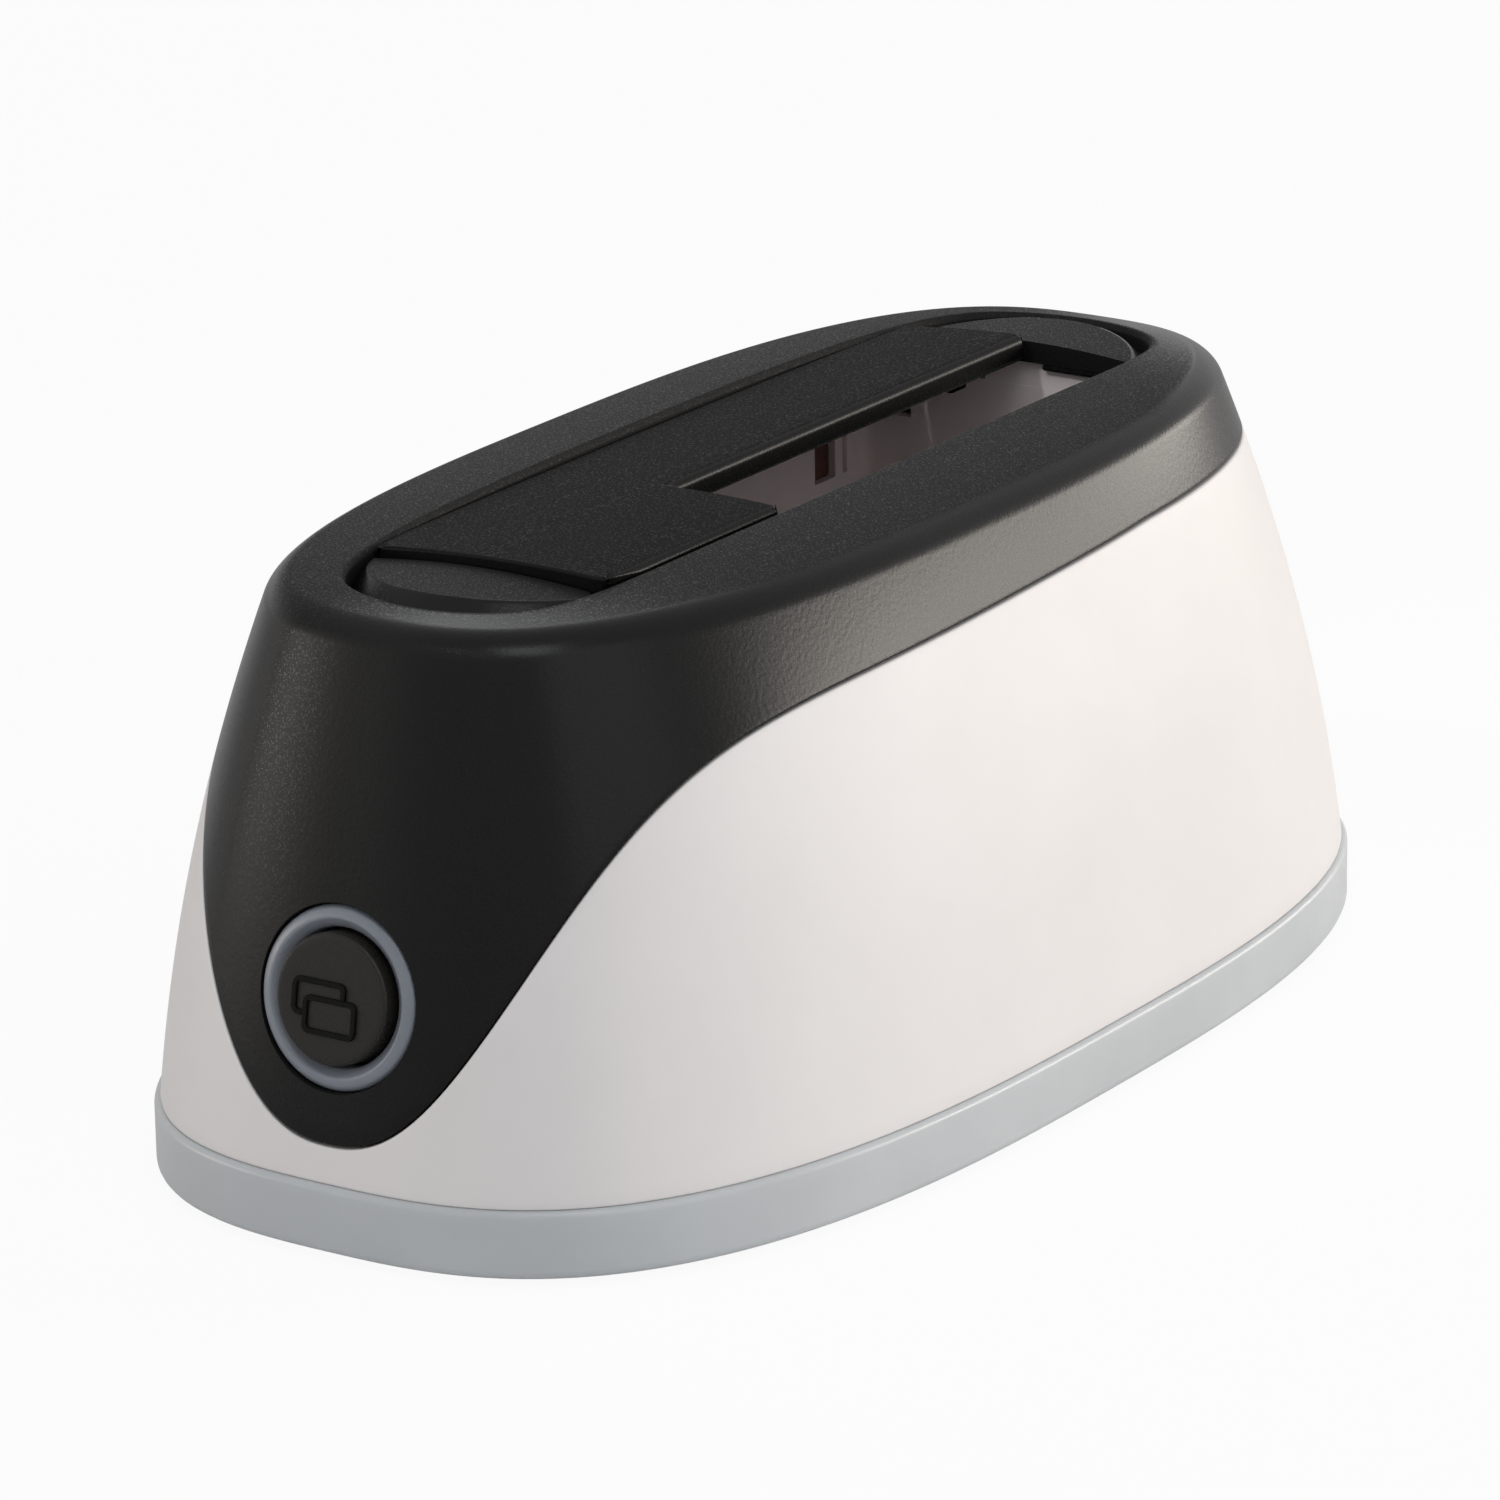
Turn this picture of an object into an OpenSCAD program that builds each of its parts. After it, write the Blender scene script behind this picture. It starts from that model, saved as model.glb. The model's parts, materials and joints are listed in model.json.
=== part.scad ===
// Desktop docking station for bare 3.5-inch and 2.5-inch hard drives.
// It stands on the table at z = 0. The button end faces -Y, and the sockets are at the +Y end.

/* [Housing] */
// Length of the base
body_l = 166; // [160:1:190]
// Width of the base
body_w = 87.8; // [84:0.2:104]
// Height of the crest of the top above the table
body_h = 66.2; // [64:0.2:80]
// Land of the top beyond the ends of the rim
end_land = 2.9; // [1:0.1:4]
// Land of the top beside the rim
side_land = 11; // [6:0.1:14]
// Offset of the top along the body, negative towards the button
top_shift = -0.85; // [-3:0.05:3]
// Squareness of the base outline, 2 is an ellipse
base_square = 2.82; // [2.4:0.02:3.2]
// Squareness of the top outline
top_square = 2.76; // [2.4:0.02:4]
// Bow of the long sides, 0 is a straight lean
side_bow = 0.73; // [0:0.01:0.8]
// Bow of the ends
end_bow = 0.4; // [0:0.01:0.6]
// Radius of the shoulder round the top
shoulder_r = 2.6; // [2:0.1:5]
// How far the top falls towards its ends
end_drop = 2.2; // [1:0.1:3]
// How far the top falls towards its sides
side_drop = 2.2; // [0.4:0.1:3]
// Wall of the moulded shells
wall = 2.2; // [1.8:0.1:2.8]

/* [Base] */
// Height of the upper edge of the base
base_h = 8.2; // [7:0.1:11]
// Width of the ledge outside the white shell
base_ledge = 0.6; // [0.3:0.1:1.2]
// Floor of the base
base_floor = 2; // [1.6:0.1:3]
// Gap between the base and the table
foot_gap = 0.8; // [0.5:0.1:2]
// Diameter of a rubber foot
foot_d = 12; // [8:0.5:16]
// Depth of the pocket that holds a foot
foot_sink = 0.7; // [0.4:0.1:1]

/* [Parting line] */
// Height of the lowest point of the tongue above the base
tongue_rise = 4; // [3.2:0.2:12]
// Depth of the black strip below the crest, where the tongue ends
strip_drop = 15.2; // [11:0.2:24]
// Rise of the parting line along the sides
strip_rise = 4.7; // [0:0.1:6]
// Half spread of the tongue, in degrees round the body
tongue_spread = 33.1; // [30:0.1:45]
// Steepness of the S-curve
tongue_power = 2.42; // [1.8:0.02:3]
// Shadow gap along the parting line
part_gap = 0.3; // [0.2:0.05:0.5]
// Overlap of the cover's inner lip
lap_h = 2.6; // [1.5:0.1:2.8]

/* [Drive slot] */
// Length of the flap, for a drive of 101.6 mm
slot_l = 103; // [102.5:0.5:108]
// Middle of the slot along the body
slot_y = -0.3; // [-2:0.1:2]
// Gap between the flap and the rim beside its corners
rim_gap = 0.35; // [0.3:0.05:0.8]
// Length of each crescent, between the flap and the end of the rim
crescent_l = 13.1; // [10:0.1:15]
// Radius of the ends of the rim opening
rim_end_r = 18; // [16:0.2:20]
// How far the sides of the rim bow out
rim_bow = 0.95; // [0:0.05:1.2]
// Width of the bevel on the rim
rim_bevel = 0.3; // [0.2:0.1:0.8]
// Height of the bevel on the rim
rim_bevel_h = 0.7; // [0.5:0.1:1.2]
// Depth of the crescents below the front edge of the rim
crescent_low = 1.15; // [0.8:0.05:1.6]
// Groove between the crescents and the rim at its foot
crescent_gap = 0.6; // [0.4:0.1:1]
// Slope of the crescents' outer wall, across
crescent_slope = 2.4; // [0.5:0.1:3]

/* [Flap] */
// Width of the flap, for a drive of 26.1 mm
flap_w = 29.5; // [28:0.1:32]
// Thickness of the flap
flap_t = 2.2; // [1.6:0.1:2.6]
// Width of the notch for 2.5-inch drives
notch_w = 13.65; // [10:0.05:16]
// Length of the notch, for a drive of 69.85 mm
notch_l = 71.5; // [71:0.5:76]
// Crown across the flap
flap_crown = 0.95; // [0.1:0.05:1.2]
// Tilt of the closed flap, free edge up
flap_tilt = 0.65; // [0:0.05:2]
// Radius of the flap's free edge
flap_edge_r = 1.5; // [0.5:0.1:1.5]
// Depth of the flap below the crest at its hinge edge
flap_low = 1.15; // [0.4:0.05:1.5]
// Gap at the ends of the flap
flap_gap = 0.5; // [0.3:0.1:1]
// Gap behind the flap
flap_rear_gap = 1.2; // [0.3:0.1:2]
// Diameter of the hinge pin
pin_d = 2; // [1.6:0.1:2.2]
// Radial play of the hinge pin
pin_play = 0.05; // [0.02:0.01:0.1]
// Wall of the flap's knuckles round the pin
knuckle_wall = 0.8; // [0.7:0.05:1]
// Reach of the hinge arms behind the flap's edge
hinge_reach = 4.2; // [4:0.1:4.6]
// Wire of the flap spring
spring_wire = 0.5; // [0.4:0.05:0.6]
// Turns of the flap spring
spring_turns = 7; // [4:1:8]

/* [Button] */
// Height of the button's middle
button_z = 27.2; // [25:0.1:32]
// Outer diameter of the light ring
ring_d = 19; // [16:0.2:20]
// Width of the light ring
ring_w = 2.3; // [1.6:0.1:3]
// Depth of the light ring's face below the cover
ring_low = 0.6; // [0.2:0.05:0.8]
// Height of the button's face above the cover
cap_proud = 1.4; // [0.8:0.1:2]
// Gap between the button and its ring
cap_gap = 0.3; // [0.25:0.05:0.5]
// Travel of the button
button_travel = 0.5; // [0.3:0.1:0.8]
// Width of the pictogram's frames
icon_w = 6.6; // [5:0.1:7]
// Height of the pictogram's raised lines
icon_h = 0.3; // [0.2:0.05:0.5]

/* [Drive bay] */
// Wall of the bay
bay_wall = 1.8; // [1.4:0.1:2.2]
// Gap between the bay's upper edge and the hinge
bay_low = 4; // [1:0.1:10]
// Gap between the flap's hooks and the ends of the bay
bay_play = 0.35; // [0.3:0.05:1]
// Floor of the bay
bay_floor = 2.2; // [1.8:0.1:2.6]
// Middle of the drive connector across the body
sata_x = 10; // [8:0.2:11]
// Middle of the drive connector along the body
sata_y = 8; // [0:0.5:12]
// Height of the drive connector above the board
sata_h = 10.5; // [9:0.1:12]

/* [Boards] */
// Thickness of the main board
board_t = 1.6; // [1:0.1:2]
// Board beyond the sides of the socket niche
board_side = 2.6; // [1:0.1:4]
// Gap between the board's parts and the bay floor
board_room = 2.6; // [2.4:0.1:4]

/* [Rear sockets] */
// Gap between the rear post and the switch
switch_room = 3.85; // [1:0.05:8]
// Height of the niche's floor above the base
niche_sill = 1.6; // [1:0.1:3]
// Gap round each socket in its window
socket_gap = 0.25; // [0.15:0.05:0.4]

/* [Hidden] */

$fn = 64;
// Columns of points round each lofted shell
columns = 80;
// Segments of the large revolved arcs
arc_fn = 720;
eps = 0.01;
// How far a cutter runs past the face that it opens
over = 1;

// Rim and top, from the slot outwards
rim_w = flap_w + 2 * (rim_gap + rim_bow);
rim_l = slot_l + 2 * crescent_l;
top_l = rim_l + 2 * (rim_bevel + end_land + shoulder_r);
top_w = rim_w + 2 * (rim_bevel + side_land + shoulder_r);

// Housing levels
seam_z = base_h;
seam_l = body_l - 2 * base_ledge;
seam_w = body_w - 2 * base_ledge;
shoulder_z = body_h - shoulder_r;
floor_z = foot_gap + base_floor;
tongue_z = base_h + tongue_rise;
strip_z = body_h - strip_drop;
turns = [for (i = [0 : columns - 1]) i * 360 / columns];

// Base details
base_round = 0.8;
base_bevel = 1.2;
lip_w = 1;
lip_h = 2;
lip_gap = 0.15;
foot_t = foot_gap + foot_sink;
foot_in_x = 17.9;
foot_in_y = 36;
foot_x = body_w / 2 - foot_in_x;
foot_y = body_l / 2 - foot_in_y;
foot_play = 0.1;
foot_round = 0.3;

// Rim and crescents
strip_turn = 110;
corner_power = 10;
rim_side_r = pow(slot_l / 2, 2) / (2 * rim_bow);
rim_half_end = rim_w / 2 - rim_bow;
rim_front_z = crest(0, slot_y - rim_l / 2);
under_z = rim_front_z - wall;
flange_room = 1.1;
flange_side_room = 2.4;
flange_end = rim_bevel + end_land + shoulder_r - wall - flange_room;
flange_side = rim_bevel + side_land + shoulder_r - wall - flange_side_room;
flange_gap = 0.5;
bezel_t = 2.2;
bezel_z = under_z - bezel_t;
crescent_y = rim_l / 2 - rim_end_r;
guide_t = 1.6;
guide_drop = 1.4;
corner_cut = 2.4;
bezel_screw_side = 2.8;
bezel_screw_x = rim_half_end + bezel_screw_side;
bezel_screw_gap = 0.5;
bezel_screw_bite = 1.4;
bezel_screw_blind = 0.4;

// Flap and its hinge
slot_front = slot_y - slot_l / 2;
slot_rear = slot_y + slot_l / 2;
flap_half = flap_w / 2;
flap_left_z = body_h - flap_low;
crescent_z = flap_left_z + flap_crown - crescent_low;
flap_front = slot_front + flap_gap;
flap_rear = slot_rear - flap_rear_gap;
crown_r = pow(flap_w, 2) / (8 * flap_crown);
notch_x = flap_half - notch_w;
notch_y = slot_rear - notch_l;
knuckle_d = pin_d + 2 * knuckle_wall;
hinge_room = 0.4;
hinge_z = under_z - knuckle_d / 2 - hinge_room;
hinge_x = -flap_half - hinge_reach;
lug_wall = 0.3;
lug_r = knuckle_d / 2 + lug_wall;
lug_l = 5;
lug_in = 6;
lug_left = -(rim_w / 2 + flange_side - 2 * flange_gap);
lug_ys = [for (k = [-1 : 1]) slot_y + k * (slot_l / 2 - lug_in)];
knuckle_l = 9;
knuckle_in = 16;
knuckle_ys = [for (k = [-1, 1]) slot_y + k * (slot_l / 2 - knuckle_in)];
arm_w = 3;
pin_end = 1;
pin_l = lug_ys[2] - lug_ys[0] + lug_l + 2 * pin_end;
swing_room = 0.5;
slot_side = 1;
slot_left = hinge_x - knuckle_d / 2 - swing_room;
slot_right = flap_half + slot_side;
hook_t = 1.4;
hook_catch = 0.45;
hook_w = 5;
hook_room = 0.35;

// Flap spring
spring_gap = 0.45;
spring_pitch = spring_wire + spring_gap;
spring_play = 0.35;
spring_r = pin_d / 2 + spring_play + spring_wire / 2;
spring_side = 1;
spring_y = slot_y + lug_l / 2 + spring_side;
spring_rings = 8;
spring_sides = 6;
spring_touch = 0.1;
spring_leg = 1.4;
spring_bend = 3.6;
spring_arm = 6;

// Ends of the bay, and the post behind it
bay_front = slot_front - hook_catch - bay_play;
bay_rear = slot_rear + hook_catch + bay_play;
post_d = 7.6;
post_gap = 0.5;
post_rear = bay_rear + bay_wall + post_gap + post_d / 2;

// Sockets: the board lies just above the niche's floor
niche_low_z = base_h + niche_sill;
niche_margin = 0.6;
niche_head = 1.4;
niche_wall = 2;
socket_space = 2;
socket_proud = 0.2;
usb_w = 12;
usb_h = 10.6;
usb_l = 16;
usb_wall = 0.5;
usb_step_w = 2.4;
usb_step_h = 3.2;
usb_back = 1;
usb_tip = 2;
usb_tongue_w = 5.6;
usb_tongue_h = 3.2;
usb_tongue_low = 2.2;
usb_upper_w = 4.6;
usb_upper_h = 1.4;
usb_upper_low = 7;
usb_blade = 0.15;
usb_blade_tip = 1;
usb_lower_gap = 2.5;
usb_upper_gap = 0.9;
dc_w = 9.2;
dc_h = 11;
dc_l = 14;
dc_bore = 6.4;
dc_pin_d = 2.1;
dc_deep = 9.5;
dc_sink = 1;
dc_tip = 0.5;
dc_axis_h = 6.2;
switch_w = 13.4;
switch_h = 9;
switch_l = 8;
switch_lift = 0.8;
switch_flange = 1.1;
switch_flange_t = 1.2;
switch_wall = 1.2;
rocker_gap = 0.35;
rocker_r = 7;
rocker_swing = 10;
rocker_dish = 8.4;
rocker_dish_deep = 0.9;
rocker_pin_d = 1.6;
rocker_pin_in = 0.6;
niche_h = niche_margin + dc_h + niche_head;
niche_y = post_rear + post_d / 2 + switch_room + switch_l;
niche_half = (switch_w + 2 * switch_flange + usb_w + dc_w) / 2 + 2 * socket_space;
switch_x = -niche_half + socket_space + switch_flange + switch_w / 2;
usb_x = switch_x + switch_w / 2 + switch_flange + socket_space + usb_w / 2;
dc_x = usb_x + usb_w / 2 + socket_space + dc_w / 2;
socket_face = niche_y + socket_proud;
board_top = niche_low_z + niche_margin;
dc_z = board_top + dc_axis_h;
switch_z = board_top + switch_h / 2 + switch_lift;

// Boards
board_z = board_top - board_t;
board_gap = 0.3;
board_rear = niche_y - niche_wall - board_gap;
board_ahead = 17;
sata_l = 46;
board_front = sata_y - sata_l / 2 - board_ahead;
board_l = board_rear - board_front;
board_w = 2 * (niche_half + board_side);
board_edge = 1.2;
board_screw_in = 3.5;
board_screw_far = 28;
board_screw_x = board_w / 2 - board_screw_in;
board_screw_ys = [board_front + board_screw_in, sata_y + board_screw_far];
board_hole_gap = 0.5;
standoff_d = 5.2;
board_screw_d = 1.7;
board_head_d = 3.8;
board_head_h = 1.2;
board_bite = 2.6;
screw_blind = 0.5;

bezel_screw_out = guide_t + board_head_d / 2 + bezel_screw_gap;
bezel_screw_ys = [slot_front - bezel_screw_out, slot_rear + bezel_screw_out];

// Bay
bay_side = 0.2;
bay_z = board_top + board_room;
bay_in_z = bay_z + bay_floor;
bay_top = hinge_z - lug_r - bay_low;
bay_left = slot_left - bay_side;
bay_right = slot_right + bay_side;
bay_post_in_x = 4.2;
bay_post_in_y = 5;
bay_post_xs = [bay_left + bay_post_in_x, bay_right - bay_post_in_x];
bay_post_ys = [bay_front + bay_post_in_y, bay_rear - bay_post_in_y];
bay_post_d = 6;
bay_screw_d = 1.9;
bay_head_d = 4.2;
bay_head_h = 1.3;
bay_head_sink = 0.2;
bay_bite = 5;
window_in = 7.5;
window_y = slot_rear - window_in;
window_w = 4.2;
window_low = 6.6;
window_z = bay_top - window_low;
window_h = 5.6;
window_deep = 1.2;

// Long posts that tie the base to the bezel, beside the bay and behind it
post_side = bay_right + bay_wall + post_gap + post_d / 2;
post_ahead = 28;
post_spots = [[post_side, sata_y - post_ahead], [switch_x, post_rear]];
post_drop = 24;
post_z = bezel_z - post_drop;
post_top_d = 5;
case_head_d = 5.4;
case_head_h = 2;
case_d = 2.6;
case_grip = 12;
case_seat_z = post_z - case_grip;
case_bite = 10;
screw_play = 0.1;
slot_w = 0.6;
slot_deep = 0.5;

// Screws between the base and the shell
shell_turns = [45, 135, 225, 315];
shell_boss_rise = 13.8;
shell_boss_z = base_h + shell_boss_rise;
shell_boss_d = 6.8;
shell_boss_in = 1.8;
shell_seat_z = base_h + lip_h + lip_gap;
shell_grip = 3.2;
shell_head_z = shell_seat_z - shell_grip;
shell_head_d = 5.8;
shell_head_h = 1.8;
shell_screw_d = 2.4;
shell_boss_h = shell_boss_z - shell_seat_z;
shell_blind = 2;
shell_bite = shell_boss_h - shell_blind;

// Drive connector
sata_w = 8;
sata_gap = 0.3;
sata_slot_w = 2;
sata_slot_deep = 6;
sata_signal_l = 11.5;
sata_power_l = 21.6;
sata_end = 4.5;
sata_between = 3;
contact_step = 1.27;
sata_key = 1.4;
signal_pins = 7;
power_pins = 15;
contact_in = 1.2;
contact_w = 0.6;
contact_t = 0.25;
contact_low = 1;
signal_y = sata_y - sata_l / 2 + sata_end;
power_y = signal_y + sata_signal_l + sata_between;

// Parts on the main board
chip_s = 11;
chip_t = 1.2;
chip_x = -12;
chip_ahead = 24;
chip_y = sata_y - chip_ahead;
chip_dot_d = 1.2;
chip_dot_in = 1.4;
chip_dot_deep = 0.15;
can_d = 6.3;
can_h = 7.6;
can_waist = 0.4;
can_foot = 1;
can_gap = 0.8;
can_x = bay_right + bay_wall + can_gap + can_d / 2;
can_behind = 36;
can_y = sata_y + can_behind;
coil_s = 7;
coil_h = 2.2;
coil_dish = 0.4;
coil_rim = 1;
coil_x = -22;
coil_ahead = 6;
coil_y = sata_y - coil_ahead;
crystal_l = 7;
crystal_w = 3.6;
crystal_h = 2;
crystal_x = -6;
crystal_y = sata_y - coil_ahead;

// Button group, measured inwards from the cover's face
button_y = shift(button_z) - half_l(button_z);
lean_span = 9;
button_lean = atan2(shift(button_z + lean_span) - half_l(button_z + lean_span)
  - shift(button_z - lean_span) + half_l(button_z - lean_span), 2 * lean_span);
ring_r = ring_d / 2;
ring_play = 0.12;
ring_in_r = ring_r - ring_w;
cap_r = ring_in_r - cap_gap;
pad_rim = 3.2;
pad_r = ring_r + pad_rim;
pad_depth = 1.8;
pad_in = wall + pad_depth;
pad_out = 1.6;
ring_flange = 1.3;
ring_flange_t = 1.2;
cap_flange = 1;
cap_flange_t = 1;
cap_seat = pad_in + ring_flange_t;
cap_back = cap_seat + cap_gap + cap_flange_t;
stem_d = 3;
stem_h = 0.4;
stem_gap = 0.02;
switch_clear = 0.15;
tact_s = 4.6;
tact_floor = 0.3;
tact_room = 0.1;
plunger_in = 0.5;
plunger_out = 0.4;
plunger_d = 2;
tact_t = button_travel + plunger_in + tact_room + tact_floor;
stem_end = cap_back + stem_h;
plunger_top = stem_end + stem_gap;
tact_top = plunger_top + button_travel + plunger_out;
button_board_in = tact_top + tact_t;
button_board_t = 1.2;
button_boss_d = 4.6;
button_boss_gap = 0.6;
button_boss_x = ring_r + ring_flange + button_boss_d / 2 + button_boss_gap;
button_board_side = 3.4;
button_board_w = 2 * (button_boss_x + button_board_side);
button_board_h = 15;
button_screw_d = 1.6;
button_head_d = 3.4;
button_head_h = 1.1;
button_bite = 4;
led_s = [2.8, 1.4, 1];
led_r = ring_in_r + ring_w / 2;
cap_round = 0.4;
ring_dome = 0.5;
ring_edge = 0.3;
icon_tall = 4;
icon_line = 0.6;
icon_round = 0.9;
icon_across = 1.45;
icon_down = 1.7;

// Flat cable between the boards
cable_w = 5;
cable_t = 0.5;
cable_x = -7.6;
cable_bend = 2;
cable_run = 1;
cable_play = 0.1;
header_l = 6.4;
header_w = 4;
header_h = 2.4;
header_in = 4;
header_y = board_front + header_in;

// Shared shapes
function fold(turn) = min(turn, 360 - turn);
function ease(u, bow) = (1 - bow) * u + bow * u * u;
function rise(z) = (z - seam_z) / (shoulder_z - seam_z);
function half_w(z) = seam_w / 2 + (top_w - seam_w) / 2 * ease(rise(z), side_bow);
function half_l(z) = seam_l / 2 + (top_l - seam_l) / 2 * ease(rise(z), end_bow);
function shift(z) = top_shift * rise(z);
function squareness(z) = base_square + (top_square - base_square) * rise(z);
// Squared oval: the point at a turn from the front, counterclockwise from above
function oval(a, b, n, turn) =
  let (c = sin(turn), s = -cos(turn), k = pow(pow(abs(c), n) + pow(abs(s), n), -1 / n))
  [a * c * k, b * s * k];
// Point of the housing's outer skin, or of a skin set in from it
function skin(turn, z, inset = 0) =
  let (p = oval(half_w(z) - inset, half_l(z) - inset, squareness(z), turn))
  [p.x, p.y + shift(z), z];
// Height of the crowned top
function crest(x, y) = body_h - end_drop * pow(abs(y - top_shift) / (top_l / 2), 3)
  - side_drop * pow(abs(x) / (top_w / 2), 3);
function shoulder(turn) = let (p = skin(turn, shoulder_z)) crest(p.x, p.y) - shoulder_r;
function round_over(turn, a) =
  skin(turn, shoulder(turn) + shoulder_r * sin(a), shoulder_r * (1 - cos(a)));
// Swept parting line between the tongue and the white shell
function part_z(turn) =
  let (u = fold(turn), high = strip_z - tongue_z + strip_rise * min(u / strip_turn, 1))
  tongue_z + high * (1 - exp(-pow(u / tongue_spread, tongue_power)));
// Four-arc slot outline with blended corners
function reach(along, across, edge, r) =
  let (q = across * across / (2 * r))
  q < eps ? edge / along : (sqrt(along * along + 4 * q * edge) - along) / (2 * q);
function four_arc(a, b, end_r, side_r, turn) =
  let (c = abs(sin(turn)), s = abs(cos(turn)),
    to_side = reach(a * c, b * s, a, side_r),
    to_end = reach(b * s, a * c, b, end_r),
    k = pow(pow(to_side, -corner_power) + pow(to_end, -corner_power), -1 / corner_power))
  [a * sin(turn) * k, slot_y - b * cos(turn) * k];
function rim(turn, grow = 0) =
  four_arc(rim_w / 2 + grow, rim_l / 2 + grow, rim_end_r + grow, rim_side_r, turn);
function flange(turn, grow = 0) = four_arc(rim_w / 2 + flange_side + grow,
  rim_l / 2 + flange_end + grow, rim_end_r + flange_side + grow, rim_side_r, turn);
function lifted(p, z) = [p.x, p.y, z];

// Skin over loops of points, capped at its ends unless the last loop meets the first
module loft(loops, ring = false) {
  n = len(loops[0]);
  m = len(loops);
  steps = ring ? m : m - 1;
  walls = [for (j = [0 : steps - 1], i = [0 : n - 1])
    let (a = j * n + i, b = j * n + (i + 1) % n, k = (j + 1) % m)
    each [[a, k * n + (i + 1) % n, b], [a, k * n + i, k * n + (i + 1) % n]]];
  caps = ring ? [] : [[for (i = [0 : n - 1]) i], [for (i = [n - 1 : -1 : 0]) (m - 1) * n + i]];
  polyhedron([for (l = loops) each l], concat(walls, caps), convexity = 10);
}
// Loop of the skin at one height, and a column's share of the way between two heights
function loop_at(z, inset = 0) = [for (u = turns) skin(u, z, inset)];
function mix(a, b, f) = a + (b - a) * f;

// Round tube swept along points that lie near one plane across Y
function unit(v) = v / norm(v);
function along(path, i) = unit(path[min(i + 1, len(path) - 1)] - path[max(i - 1, 0)]);
function tube_ring(path, i, r, sides) =
  let (t = along(path, i), n = unit(cross(t, [0, 1, 0])), b = cross(t, n))
  [for (k = [0 : sides - 1]) path[i] + r * (cos(k * 360 / sides) * n + sin(k * 360 / sides) * b)];
module tube(path, r, sides) {
  loft([for (i = [0 : len(path) - 1]) tube_ring(path, i, r, sides)]);
}

module at_button() {
  translate([0, button_y, button_z])
    rotate([90 - button_lean, 0, 0])
      children();
}
// Disc on the button's axis between two depths inwards from the cover's face
module button_disc(r, from, to) {
  translate([0, 0, -to])
    cylinder(r = r, h = to - from);
}
// Screw standing on its head, pointing up
module screw(d, l, head_d, head_h) {
  difference() {
    union() {
      translate([0, 0, -head_h])
        cylinder(d = head_d, h = head_h);
      cylinder(d = d, h = l);
    }
    for (a = [0, 90])
      rotate(a)
        translate([-head_d / 3, -slot_w / 2, -head_h - eps])
          cube([head_d * 2 / 3, slot_w, slot_deep]);
  }
}
module along_y(y, l) {
  translate([0, y + l / 2, 0])
    rotate([90, 0, 0])
      linear_extrude(l)
        children();
}
module shell_boss_places() {
  for (u = shell_turns)
    let (p = skin(u, shell_boss_z, wall + shell_boss_in))
      translate([p.x, p.y, 0])
        children();
}
module bay_post_places() {
  for (x = bay_post_xs, y = bay_post_ys)
    translate([x, y, 0])
      children();
}
module board_screw_places() {
  for (x = [-board_screw_x, board_screw_x], y = board_screw_ys)
    translate([x, y, 0])
      children();
}
module post_places() {
  for (p = post_spots)
    translate(p)
      children();
}
module bezel_screw_places() {
  for (x = [-bezel_screw_x, bezel_screw_x], y = bezel_screw_ys)
    translate([x, y, 0])
      children();
}

// Black cover: the tongue, the shoulder, the rim and the inner lip
module cover_body() {
  low = [for (u = turns) part_z(u) + part_gap / 2];
  outer = [for (f = [0 : 7]) [for (i = [0 : columns - 1])
    skin(turns[i], mix(low[i], shoulder(turns[i]), f / 7))]];
  rounded = [for (a = [22, 40, 57, 74, 90]) [for (u = turns) round_over(u, a)]];
  top = [for (f = [0.5, 1]) [for (u = turns)
    let (p = round_over(u, 90), q = rim(u, rim_bevel), x = mix(p.x, q.x, f), y = mix(p.y, q.y, f))
    [x, y, f < 1 ? mix(p.z, crest(q.x, q.y), f) : crest(x, y)]]];
  edge = [for (u = turns) let (p = rim(u)) lifted(p, crest(p.x, p.y) - rim_bevel_h)];
  foot = [for (u = turns) lifted(rim(u), under_z)];
  seat = [for (u = turns) lifted(flange(u), under_z)];
  inner = [for (f = [0 : 5]) [for (i = [0 : columns - 1])
    skin(turns[i], mix(under_z - wall, low[i] - lap_h, f / 5), wall)]];
  lip = [for (i = [0 : columns - 1]) skin(turns[i], low[i] - lap_h, wall / 2 + lip_gap)];
  step = [for (i = [0 : columns - 1]) skin(turns[i], low[i], wall / 2 + lip_gap)];
  loft(concat(outer, rounded, top, [edge, foot, seat], inner, [lip, step]), ring = true);
}
module top_cover() {
  color("#2a2b2e")
    difference() {
      union() {
        cover_body();
        at_button()
          button_disc(pad_r, pad_out, pad_in);
        for (x = [-1, 1])
          at_button()
            translate([x * button_boss_x, 0, 0])
              button_disc(button_boss_d / 2, wall, button_board_in);
      }
      at_button()
        button_disc(ring_r + ring_play, -pad_in, pad_in + over);
      for (x = [-1, 1])
        at_button()
          translate([x * button_boss_x, 0, 0])
            button_disc((button_screw_d + screw_play) / 2, button_board_in - button_bite,
              button_board_in + over);
      bezel_screw_places()
        translate([0, 0, under_z - over])
          cylinder(d = board_screw_d + screw_play, h = over + bezel_screw_bite + bezel_screw_blind);
    }
}

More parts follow.
